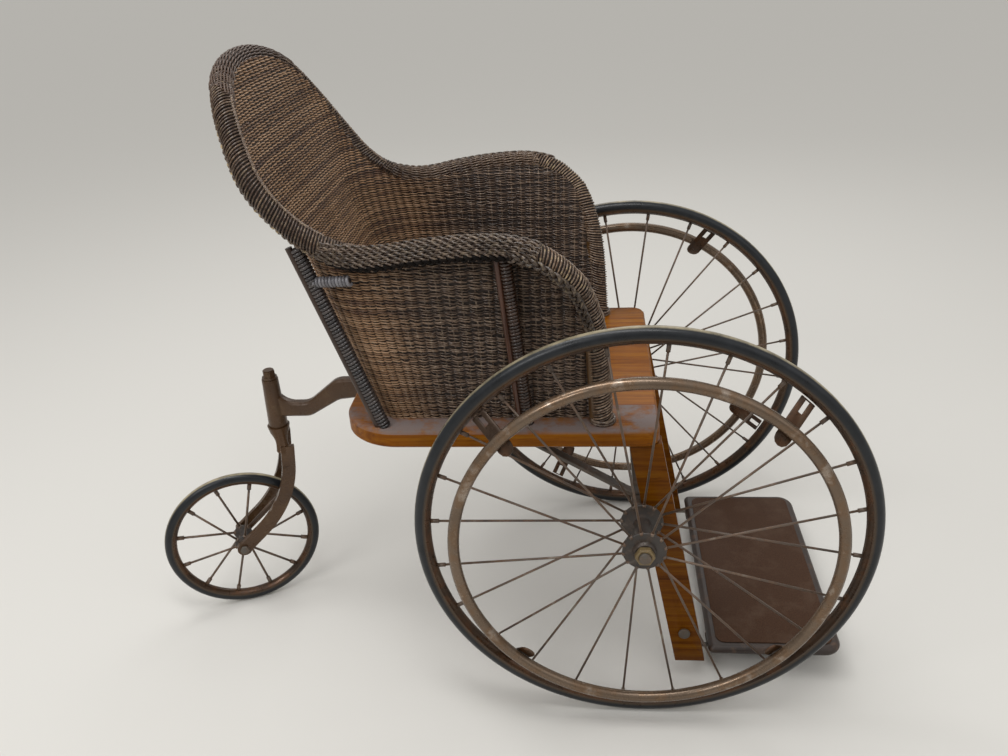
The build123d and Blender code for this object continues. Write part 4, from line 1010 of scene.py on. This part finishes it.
class CHAIR_OT_wicker_rim(bpy.types.Operator):
    """Work the rolled rim: the weave carried over it, ropes, bare stakes and a plaited edge"""

    bl_idname = "chair.wicker_rim"
    bl_label = "Rolled rim"

    # The angle round the roll, in degrees, where its strands end under it
    underside = 285
    # Shares of half the rim, and the angle round the roll to which the weave is carried there
    woven = ((0.315, 0.33, 0.56, 0.61, 0.83, 0.90, 1.0), (-30, 78, 78, -42, -42, underside, underside))
    # Shares of half the rim where the arms have ropes outside, and their angles round the roll
    roped = (0.30, 0.60)
    ropes = (84, 106, 128, 150, 172, 193)
    plaits = (
        Plait("front", 0.125, 0.335, 203, 3.3 * MM, 5.4 * MM, 42 * MM, -0.3, 0.15, "willow"),
        # The arm's plait is near black as painted shade under the roll
        Plait("arm", 0.32, 0.61, 214, 2.9 * MM, 4.4 * MM, 36 * MM, 0.2, 0.0, "black_cane"),
        Plait("wing", 0.60, 0.90, 190, 2.3 * MM, 3.6 * MM, 30 * MM, 0.3, 0.9, "willow"),
        Plait("crown", 0.89, 1.0, 208, 2.0 * MM, 3.0 * MM, 28 * MM, -0.3, 0.2, "willow"),
        Plait("chain", 0.60, 0.88, 2, 1.2 * MM, 2.0 * MM, 16 * MM, 0.6, 0.2, "willow"),
    )

    def execute(self, context):
        settings = context.scene.chair_wicker
        wall = TubWall(settings)
        random = np.random.default_rng(5)
        # The roll's core is painted shade, seen only between the strands laid over it
        core = Strands("wicker_roll")
        core.add(wall.rim.at(np.linspace(0, 1, 260)), 0.5)
        core.finish(settings.roll, 14, material="willow_core")
        self.carry_weave(settings, wall, random)
        self.bare_stakes(settings, wall, random)
        self.twist_ropes(settings, wall.rim, random)
        for plait in self.plaits:
            self.plait_edge(settings, wall.rim, random, plait)
        return {"FINISHED"}

    @staticmethod
    def halves(first, last, step):
        """Runs of shares along both halves of the rim; one run where they meet at the top."""
        right = np.linspace(first / 2, last / 2, max(2, round((last - first) / 2 / step)))
        left = 1 - right[::-1]
        return [np.concatenate((right, left[1:]))] if last == 1.0 else [right, left]

    def carry_weave(self, settings, wall, random):
        """Rows of the wall's weave carried over the crest of the roll."""
        strands = Strands("wicker_crest")
        lie = settings.roll + settings.strand * 0.5
        share = np.arange(0.15, 0.85, 5.2 * MM / wall.rim.length)
        half = 2 * np.minimum(share, 1 - share)
        ends = np.interp(half, *self.woven)
        for angle in np.arange(-40, self.underside, np.degrees(settings.row_pitch / lie)):
            for run in runs_of(ends > angle):
                spot = RimFrame(wall.rim, share[run])
                turn = radians(angle)
                # Over the wings the crest takes some of the warmer ramp, which is partly painted light
                warm = np.interp(half[run], (0.5, 0.7), (0.1, 0.45))
                tone = np.interp(half[run], (0.5, 0.7), (0.4, -0.8)) + 0.4 * random.random()
                strands.twine(spot.around(lie, turn), spot.ray(turn + pi / 2), settings.slant, spot.ray(turn),
                              wall.stake_at(share[run]), tone, wear=0.04, warm=warm)
        strands.finish(settings.strand, 5, settings.weave_depth * 0.7)

    def bare_stakes(self, settings, wall, random):
        """Stake ends over the outside of the wings and round the arm fronts, side by side on the roll."""
        strands = Strands("wicker_ladder")
        lie = settings.roll + settings.wrap * 0.7
        length = wall.rim.length
        for start in np.arange(0.002, 0.998, settings.wrap_pitch / length):
            half = 2 * min(start, 1 - start)
            front = half < 0.33
            if not front and not 0.57 < half < 0.94:
                continue
            forward = -1 if start < 0.5 else 1
            slant = np.interp(half, (0.0, 0.12, 0.2, 0.3, 0.6, 0.7, 0.9), (30, 30, 8, 26, 22, 34, 40)) * MM
            start_angle = np.interp(half, (0.33, 0.57, 0.62, 0.68, 0.74, 0.885, 0.90, 0.94),
                                    (-50, -60, -85, -85, -40, -40, 140, 170))
            angles = np.radians(np.linspace(start_angle, self.underside, 19))
            shift = forward * (slant + 1.2 * MM * random.standard_normal()) / length
            share = np.clip(start + shift * (np.linspace(0, 1, len(angles)) - 0.4), 0, 1)
            line = RimFrame(wall.rim, share).around(lie + 0.4 * MM * random.standard_normal(), angles)
            rubbed = np.interp(half, (0.2, 0.26, 0.3, 0.33, 0.6), (0.05, 0.45, 0.45, 0.2, 0.12))
            strands.add(line, (0.1 if front else -0.4) + 0.6 * random.random(), wear=rubbed, warm=0.25)
        strands.finish(settings.wrap, 6)

    def twist_ropes(self, settings, rim, random):
        """Pairs of strands twisted along the outside of the arms."""
        strands = Strands("wicker_ropes")
        offset, twist = 1.9 * MM, 26 * MM
        for angle in self.ropes:
            for share in self.halves(*self.roped, 3.2 * MM / rim.length):
                spot = RimFrame(rim, share)
                run = 2 * pi * np.minimum(share, 1 - share) * rim.length / twist
                for strand in (0, 1):
                    phase = run + pi * strand + radians(7 * angle)
                    line = spot.around(settings.roll + 2.1 * MM + offset * np.sin(phase),
                                       radians(angle) + offset * np.cos(phase) / settings.roll)
                    strands.add(line, -0.1 + 0.5 * random.random(), wear=0.06)
        strands.finish(1.75 * MM, 6)

    def plait_edge(self, settings, rim, random, plait):
        """A plait of three strands along the outer edge."""
        strands = Strands(f"wicker_plait_{plait.name}")
        lie = settings.roll + plait.radius
        for share in self.halves(plait.first, plait.last, 3.2 * MM / rim.length):
            spot = RimFrame(rim, share)
            run = share * rim.length / plait.pitch
            for strand in range(3):
                phase = 2 * pi * (run + strand / 3)
                line = spot.around(lie + plait.radius * 0.8 * np.sin(2 * phase),
                                   radians(plait.angle) + plait.sway / lie * np.sin(phase))
                strands.add(line, plait.tone + 0.5 * random.random(), wear=plait.wear)
        strands.finish(plait.radius, 6, material=plait.material)


class CHAIR_OT_wrapped_posts(bpy.types.Operator):
    """Wind binding cane round the posts and the braces outside the tub, with a bare stick beside each post"""

    bl_idname = "chair.wrapped_posts"
    bl_label = "Wrapped posts"

    cane = 2.8 * MM
    # Wound posts: name, line, millimetres forward of it, radius, finish
    wound = (
        ("post_rear", REAR_POST, 2.4, 10.2 * MM, "cane"),
        ("post_middle", MIDDLE_POST, 0.8, 10.0 * MM, "brown_cane"),
        ("brace", BRACE, 0.0, 8.8 * MM, "pale_cane"),
    )
    # Bare sticks: name, line, millimetres forward of it, radius, finish
    sticks = (
        ("stick_rear", REAR_POST, -9.0, 5.4 * MM, "dark_stick"),
        ("stick_middle", MIDDLE_POST, -11.6, 4.4 * MM, "red_stick"),
        ("stick_front", RIM_POINTS[:2], -12.0, 8.5 * MM, "gold_stick"),
    )

    def execute(self, context):
        settings = context.scene.chair_wicker
        for side_name, side in SIDES:
            for name, ends, ahead, radius, finish in self.wound:
                self.wind(settings, f"{name}_{side_name}", self.line(ends, ahead, side), radius, finish)
            for name, ends, ahead, radius, finish in self.sticks:
                self.rod(f"{name}_{side_name}", self.line(ends, ahead, side), radius, finish)
        self.bind_feet()
        return {"FINISHED"}

    @staticmethod
    def line(ends, ahead, side):
        return tub_points(np.array(ends, float) + (ahead, 0, 0)) * (1, -side, 1)

    @staticmethod
    def rod(name, line, radius, finish):
        stick = grow(name, chains(name, [line]), "strands", strand_radius=radius, sides=14, weave_depth=0.0,
                     material=Finishes.get(finish))
        show(name, stick, "chassis", "wicker", None)

    def wind(self, settings, name, line, radius, finish):
        """A stick of painted shade with cane wound closely round it."""
        self.rod(f"{name}_core", line, radius - 1.5 * self.cane, "willow_core")
        coil = grow(name, chains(name, [line]), "coil", post_radius=radius - self.cane, cane_radius=self.cane,
                    pitch=settings.coil_pitch, material=Finishes.get(finish))
        # The right brace stands for the node that holds both
        nodes = {"brace_right": ("braces",), "brace_left": ()}.get(name, (name,))
        show(f"{name}_cane", coil, "chassis", "wicker", None, *nodes)

    @staticmethod
    def bind_feet():
        """Two rings of cane round each front foot of the rim."""
        strands = Strands("wicker_feet")
        turn = np.linspace(0, 2 * pi, 33)
        radius = 18 * MM
        for _, side in SIDES:
            centre = tub_points(RIM_POINTS[:1])[0] * (1, -side, 1)
            for lift in (2.6 * MM, 7.4 * MM):
                ring = np.column_stack((
                    radius * np.cos(turn), radius * np.sin(turn), np.full(len(turn), lift)))
                strands.add(centre + ring, 0.4)
        strands.finish(2.5 * MM, 6)


class CHAIR_OT_seat_panel(bpy.types.Operator):
    """Weave the seat panel from flat cane, over and under both ways"""

    bl_idname = "chair.seat_panel"
    bl_label = "Seat panel"

    corner = 90 * MM

    def inside(self, low, high, axis, run, mark):
        """Which places of a strand lie within the panel's rounded rear corners."""
        forward, across = (run, np.full(len(run), mark)) if axis == 0 else (np.full(len(run), mark), run)
        back = np.maximum(low.x + self.corner - forward, 0)
        out = np.maximum(np.abs(across) - (high.y - self.corner), 0)
        return np.hypot(back, out) < self.corner - 3 * MM

    def execute(self, context):
        low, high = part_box("seat_panel")
        pitch = 9.5 * MM
        random = np.random.default_rng(3)
        level = high.z - 2.6 * MM
        inset = 3 * MM
        strands = Strands("seat_cane")
        for axis in (0, 1):
            other = 1 - axis
            marks = np.arange(low[other] + pitch, high[other] - pitch / 2, pitch)
            for row, mark in enumerate(marks):
                run = np.arange(low[axis] + inset, high[axis] - inset, pitch / 3)
                run = run[self.inside(low, high, axis, run, mark)]
                line = np.zeros((len(run), 3))
                line[:, axis], line[:, other], line[:, 2] = run, mark, level
                upward = np.tile((0, 0, 1.0), (len(run), 1))
                strands.add(line, random.random(), upward, (run - low[axis]) / pitch, row + axis, wear=0.2)
        strands.finish(2.4 * MM, 5, 0.9 * MM, slot="cane")
        # Under the cane lies a sheet of painted shade, seen between the strands
        base = softened("seat_panel", 0)
        base.transform(Matrix.Translation((0, 0, -2 * MM)))
        show("seat_base", base, "chassis", "cane", "willow_core", "seat_panel")
        return {"FINISHED"}


class CHAIR_OT_seat_frame(bpy.types.Operator):
    """Varnish the seat rails and the legs"""

    bl_idname = "chair.seat_frame"
    bl_label = "Seat frame and legs"

    def execute(self, context):
        edge = context.scene.chair_wood.edge
        for node, finish in (
            ("seat_rail_right", "oak_along"), ("seat_rail_left", "oak_clean"),
            ("seat_rail_front", "oak_across"), ("seat_rail_rear", "oak_across"),
            ("leg_right", "oak_leg"), ("leg_left", "oak_leg"),
        ):
            rounded = softened(node, edge if node.startswith("leg") else 0.0)
            show(f"wood_{node}", rounded, "chassis", "varnished_wood", finish, node)
        return {"FINISHED"}


def rounded_corner(points, centre, radius, start, stop, steps=5):
    """Add an arc to a profile."""
    for angle in np.linspace(radians(start), radians(stop), steps):
        points.append((centre[0] + radius * cos(angle), centre[1] + radius * sin(angle)))


def tyre_profile(radius, width, depth, seat):
    """A round crown on straight sides that narrow into the rim, with how far each point is from the rim."""
    crown = width / 2
    points = []
    rounded_corner(points, (0, radius - crown), crown, -12, 192, 19)
    points += [(-seat, radius - depth), (seat, radius - depth)]
    across = [(r - (radius - depth)) / depth * 0.5 for along, r in points]
    return points, across


def rim_profile(seat, outer, depth):
    """A shallow channel: rolled lips beside the tyre and a rounded belly towards the hub."""
    lip = 1.6 * MM
    points = []
    rounded_corner(points, (seat, outer - lip), lip, 90, -60, 4)
    rounded_corner(points, (0, outer + 0.25 * seat), depth + 0.25 * seat, -50, -130, 9)
    rounded_corner(points, (-seat, outer - lip), lip, 240, 90, 4)
    return points


# A wire wheel's sizes; along the axle, plus is outwards from the rim's middle
Wheel = namedtuple(
    "Wheel", "spokes flanges flange_radius hub_ends barrel bore tyre_width rim_half rim_depth steps")
MAIN_WHEEL = Wheel(
    spokes=24, flanges=(31 * MM, -42 * MM), flange_radius=33.5 * MM, hub_ends=(39 * MM, -60 * MM),
    barrel=12.5 * MM, bore=9.3 * MM, tyre_width=23 * MM, rim_half=10 * MM, rim_depth=7 * MM, steps=180)
CASTER_WHEEL = Wheel(
    spokes=12, flanges=(19 * MM, -19 * MM), flange_radius=17.5 * MM, hub_ends=(28 * MM, -28 * MM),
    barrel=8.5 * MM, bore=5.3 * MM, tyre_width=20 * MM, rim_half=8 * MM, rim_depth=6 * MM, steps=120)


class CHAIR_OT_main_wheels(bpy.types.Operator):
    """Build the two large wire wheels with their hand rims and brackets"""

    bl_idname = "chair.main_wheels"
    bl_label = "Main wheels"

    turns = {"right": radians(2.3), "left": radians(16.0)}

    def execute(self, context):
        metal = context.scene.chair_metal
        for side_name, side in SIDES:
            name = f"{side_name}_wheel"
            build_wheel(
                name, MAIN_WHEEL, metal.wire, metal.nipple, middle(f"{name}_tyre"), Vector((0, side, 0)),
                self.turns[side_name], side)
            self.hand_rim(context, side_name, side)
        return {"FINISHED"}

    def hand_rim(self, context, side_name, side):
        node = f"{side_name}_hand_rim"
        low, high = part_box(node)
        tube = (high.y - low.y) / 2
        radius = (high.z - low.z) / 2 - tube
        around = np.linspace(0, 2 * pi, 16, endpoint=False)
        profile = [(tube * cos(a), radius + tube * sin(a)) for a in around]
        ring = lathe(node, profile, middle(node), (0, 1, 0), 180)
        show(f"{side_name}_hand_rim_tube", ring, f"{side_name}_wheel", "rim_steel", "hand_rim", node)
        plates = softened(f"{side_name}_hand_rim_brackets", 0.9 * MM, 2)
        show(f"{side_name}_hand_rim_plates", plates, f"{side_name}_wheel", "rim_steel", "rim",
             f"{side_name}_hand_rim_brackets")
        centre = AXLE.copy()
        centre.y = middle(f"{side_name}_wheel_tyre").y
        points = []
        for index in range(4):
            angle = self.turns[side_name] + (index + 0.5) * pi / 2
            ray = Vector((cos(angle), 0, sin(angle)))
            place = centre + ray * (radius - 4 * MM) + Vector((0, side * 33.5 * MM, 0))
            facing = Vector((0, -side * 0.86, 0)) - ray * 0.5
            points.append((place - facing * 5 * MM, facing))
        heads(f"{side_name}_hand_rim_rivets", points, f"{side_name}_wheel", "rim_steel", "iron",
              context.scene.chair_metal.rivet, 3.4 * MM)


def hub_profile(sizes):
    """A turned hub: a slim barrel that flares into two spoke flanges, with a bore for the axle."""
    (outer, inner), (outer_end, inner_end) = sizes.flanges, sizes.hub_ends
    barrel, plate = sizes.barrel, 2.5 * MM
    points = [(inner_end, sizes.bore), (inner_end, barrel), (inner_end + 2 * MM, barrel + 1.5 * MM)]
    points += [(inner - 6 * MM, barrel + 1.5 * MM), (inner - plate, barrel + 7 * MM)]
    rounded_corner(points, (inner, sizes.flange_radius - plate), plate, 180, 0, 7)
    points += [(inner + plate, barrel + 8 * MM), (inner + 7 * MM, barrel + 1.5 * MM)]
    points += [(inner + 14 * MM, barrel), (outer - 14 * MM, barrel)]
    points += [(outer - 7 * MM, barrel + 1.5 * MM), (outer - plate, barrel + 8 * MM)]
    rounded_corner(points, (outer, sizes.flange_radius - plate), plate, 180, 0, 7)
    points += [(outer + plate, barrel + 6 * MM), (outer_end - 2 * MM, barrel + 5 * MM)]
    points += [(outer_end, barrel + 3 * MM), (outer_end, sizes.bore)]
    return points


def build_wheel(name, sizes, wire, nipple, centre, axle, turn, flip=1):
    """One wire wheel on the body of its name: tyre, rim, spokes with nipples and a turned hub."""
    tyre_low, tyre_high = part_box(f"{name}_tyre")
    rim_low, rim_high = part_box(f"{name}_rim")
    radius, seat_radius = (tyre_high.z - tyre_low.z) / 2, (rim_high.z - rim_low.z) / 2
    profile, across = tyre_profile(radius, sizes.tyre_width, radius - seat_radius, sizes.rim_half)
    tyre = lathe(f"{name}_tyre", profile, centre, axle, sizes.steps, across)
    show(f"{name}_rubber", tyre, name, "tyre", "rubber", f"{name}_tyre")
    lip = 1.4 * MM
    channel = rim_profile(sizes.rim_half, seat_radius + lip, sizes.rim_depth + lip)
    rim = lathe(f"{name}_rim", channel, centre, axle, sizes.steps)
    show(f"{name}_channel", rim, name, "rim_steel", "rim", f"{name}_rim")
    seed = bpy.data.meshes.new(f"{name}_spokes")
    yaw = Vector((0, 1, 0)).rotation_difference(Vector(axle) * flip).to_euler().z
    outer, inner = sizes.flanges
    wires = grow(
        f"{name}_spokes", seed, "spokes", count=sizes.spokes, turn=turn,
        hub_radius=sizes.flange_radius - 4 * MM, rim_radius=seat_radius - sizes.rim_depth + 0.5 * MM,
        even_flange=flip * outer, odd_flange=flip * inner, wire_radius=wire, nipple_length=nipple,
        yaw=yaw, centre=tuple(centre), material=Finishes.get("spoke"))
    show(f"{name}_wires", wires, name, "spoke_steel", None, f"{name}_spokes")
    hub = lathe(f"{name}_hub", hub_profile(sizes), centre, axle, 72)
    show(f"{name}_turned_hub", hub, name, "hub_iron", "hub", f"{name}_hub")


class CHAIR_OT_caster(bpy.types.Operator):
    """Build the trailing caster: wire wheel, fork, stem nut and axle bolt"""

    bl_idname = "chair.caster"
    bl_label = "Caster"

    wire = 2.3 * MM
    # One spoke's pitch brings each spoke to its flange
    turn = radians(30)

    def execute(self, context):
        nipple = context.scene.chair_metal.nipple
        build_wheel("caster_wheel", CASTER_WHEEL, self.wire, nipple, CASTER, CASTER_AXLE, self.turn)
        fork = softened("caster_fork", 3.4 * MM, 3, 40)
        show("caster_fork_forging", fork, "caster_fork", "brown_paint", "enamel", "caster_fork")
        nut = softened("caster_nut", 0.9 * MM)
        show("caster_stem_nut", nut, "caster_fork", "brass", "enamel", "caster_nut")
        bolt = softened("caster_axle", 0.9 * MM)
        show("caster_axle_bolt", bolt, "caster_fork", "grey_iron", "iron", "caster_axle")
        return {"FINISHED"}


class CHAIR_OT_ironwork(bpy.types.Operator):
    """Finish the axle, its clips and nuts, the struts, the caster arm, the hinge bolts and the irons"""

    bl_idname = "chair.ironwork"
    bl_label = "Ironwork"

    def execute(self, context):
        edge = context.scene.chair_metal.edge
        for node, body, slot, finish, rounding in (
            ("axle", "chassis", "grey_iron", "iron", edge),
            ("axle_clip_right", "chassis", "grey_iron", "iron", edge),
            ("axle_clip_left", "chassis", "grey_iron", "iron", edge),
            ("axle_nuts", "chassis", "brass", "brass", edge),
            ("strut_right", "chassis", "grey_iron", "iron", edge),
            ("strut_left", "chassis", "grey_iron", "iron", edge),
            ("caster_arm", "chassis", "brown_paint", "enamel", 1.6 * edge),
            ("hinge_bolts", "chassis", "grey_iron", "iron", edge),
            ("footboard_iron_right", "footboard", "grey_iron", "iron", edge),
            ("footboard_iron_left", "footboard", "grey_iron", "iron", edge),
        ):
            show(f"forged_{node}", softened(node, rounding), body, slot, finish, node)
        return {"FINISHED"}


class CHAIR_OT_footboard(bpy.types.Operator):
    """Finish the footboard: a painted board with a rounded edge under worn linoleum"""

    bl_idname = "chair.footboard"
    bl_label = "Footboard"

    def execute(self, context):
        board = softened("footboard", 3.2 * MM, 3, 30)
        show("foot_board", board, "footboard", "footboard_wood", "board", "footboard")
        cover = softened("footboard_cover", 0.8 * MM)
        show("foot_linoleum", cover, "footboard", "linoleum", "linoleum", "footboard_cover")
        return {"FINISHED"}


class CHAIR_OT_stage(bpy.types.Operator):
    """Set the pale floor, the soft lamps and the camera"""

    bl_idname = "chair.stage"
    bl_label = "Stage"

    def execute(self, context):
        scene = context.scene
        settings = scene.chair_stage
        half = settings.floor
        ground = bpy.data.meshes.new("floor")
        corners = [(-half, -half, 0), (half, -half, 0), (half, half, 0), (-half, half, 0)]
        ground.from_pydata(corners, [], [(0, 1, 2, 3)])
        material, tree, shader, place = new_material("pale_floor", Roughness=0.85, Specular_IOR_Level=0.2)
        shader.inputs["Base Color"].default_value = linear("#d6d4cf")
        ground.materials.append(material)
        floor = bpy.data.objects.new("floor", ground)
        scene.collection.objects.link(floor)
        self.light(scene)
        self.aim(scene, settings)
        return {"FINISHED"}

    @staticmethod
    def light(scene):
        world = bpy.data.worlds.new("studio")
        world.use_nodes = True
        tree = world.node_tree
        backdrop = tree.nodes["Background"]
        backdrop.inputs["Color"].default_value = (1.0, 0.99, 0.97, 1.0)
        sky = add(tree, "TexCoord", output="Generated")
        height = add(tree, "SeparateXYZ", {0: sky}, output="Z")
        tree.links.new(add(tree, "MapRange", height, 0.0, 1.0, 0.32, 0.86), backdrop.inputs["Strength"])
        scene.world = world
        for name, place, width, depth, power in (
            ("overhead", (-0.4, -0.5, 3.0), 2.8, 0.6, 36.0),
            ("key", (-1.8, -2.5, 2.7), 1.6, 0.6, 26.0),
            ("fill", (2.6, -1.6, 1.9), 1.8, 1.8, 6.0),
            ("rim", (0.4, 2.6, 2.4), 1.6, 0.8, 10.0),
        ):
            lamp = bpy.data.lights.new(name, "AREA")
            lamp.energy = power
            lamp.shape = "RECTANGLE"
            lamp.size = width
            lamp.size_y = depth
            lamp_object = bpy.data.objects.new(name, lamp)
            lamp_object.location = place
            aim = Vector((0, 0, 0.5)) - Vector(place)
            lamp_object.rotation_euler = aim.to_track_quat("-Z", "Y").to_euler()
            scene.collection.objects.link(lamp_object)

    @staticmethod
    def aim(scene, settings):
        """Turn the camera as the picture was taken, from its yaw, pitch and roll."""
        yaw, pitch, roll = settings.yaw, settings.pitch, settings.roll
        right = Vector((cos(yaw), sin(yaw), 0))
        ahead = Vector((-sin(yaw) * cos(pitch), cos(yaw) * cos(pitch), -sin(pitch)))
        up = right.cross(ahead)
        tilted_right = right * cos(roll) + up * sin(roll)
        tilted_up = up * cos(roll) - right * sin(roll)
        turn = Matrix((tilted_right, tilted_up, -ahead)).transposed().to_4x4()
        camera = bpy.data.cameras.new("photo_view")
        camera.sensor_width = 36
        camera.sensor_fit = "HORIZONTAL"
        camera.lens = settings.lens
        holder = bpy.data.objects.new("photo_view", camera)
        holder.matrix_world = Matrix.Translation(settings.camera) @ turn
        scene.collection.objects.link(holder)
        scene.camera = holder
        scene.view_settings.view_transform = "Standard"


OPERATORS = (
    CHAIR_OT_wicker_tub, CHAIR_OT_wicker_rim, CHAIR_OT_wrapped_posts, CHAIR_OT_seat_panel,
    CHAIR_OT_seat_frame,
    CHAIR_OT_main_wheels, CHAIR_OT_caster, CHAIR_OT_ironwork, CHAIR_OT_footboard, CHAIR_OT_stage,
)


class CHAIR_PT_panel(bpy.types.Panel):
    """The chair's pieces in the order of their making"""

    bl_idname = "CHAIR_PT_panel"
    bl_label = "Wicker invalid chair"
    bl_space_type = "VIEW_3D"
    bl_region_type = "UI"
    bl_category = "Chair"

    def draw(self, context):
        for operator in OPERATORS:
            self.layout.operator(operator.bl_idname)


SETTINGS = {
    "chair_wicker": WickerSettings,
    "chair_wood": WoodSettings,
    "chair_metal": MetalSettings,
    "chair_stage": StageSettings,
}


def register():
    for settings in SETTINGS.values():
        bpy.utils.register_class(settings)
    for name, settings in SETTINGS.items():
        setattr(bpy.types.Scene, name, PointerProperty(type=settings))
    for cls in OPERATORS + (CHAIR_PT_panel,):
        bpy.utils.register_class(cls)


def unregister():
    for cls in reversed(OPERATORS + (CHAIR_PT_panel,)):
        bpy.utils.unregister_class(cls)
    for name in SETTINGS:
        delattr(bpy.types.Scene, name)
    for settings in reversed(tuple(SETTINGS.values())):
        bpy.utils.unregister_class(settings)


def main():
    register()
    bpy.ops.chair.wicker_tub()
    bpy.ops.chair.wicker_rim()
    bpy.ops.chair.wrapped_posts()
    bpy.ops.chair.seat_panel()
    bpy.ops.chair.seat_frame()
    bpy.ops.chair.main_wheels()
    bpy.ops.chair.caster()
    bpy.ops.chair.ironwork()
    bpy.ops.chair.footboard()
    bpy.ops.chair.stage()


if __name__ == "__main__":
    main()
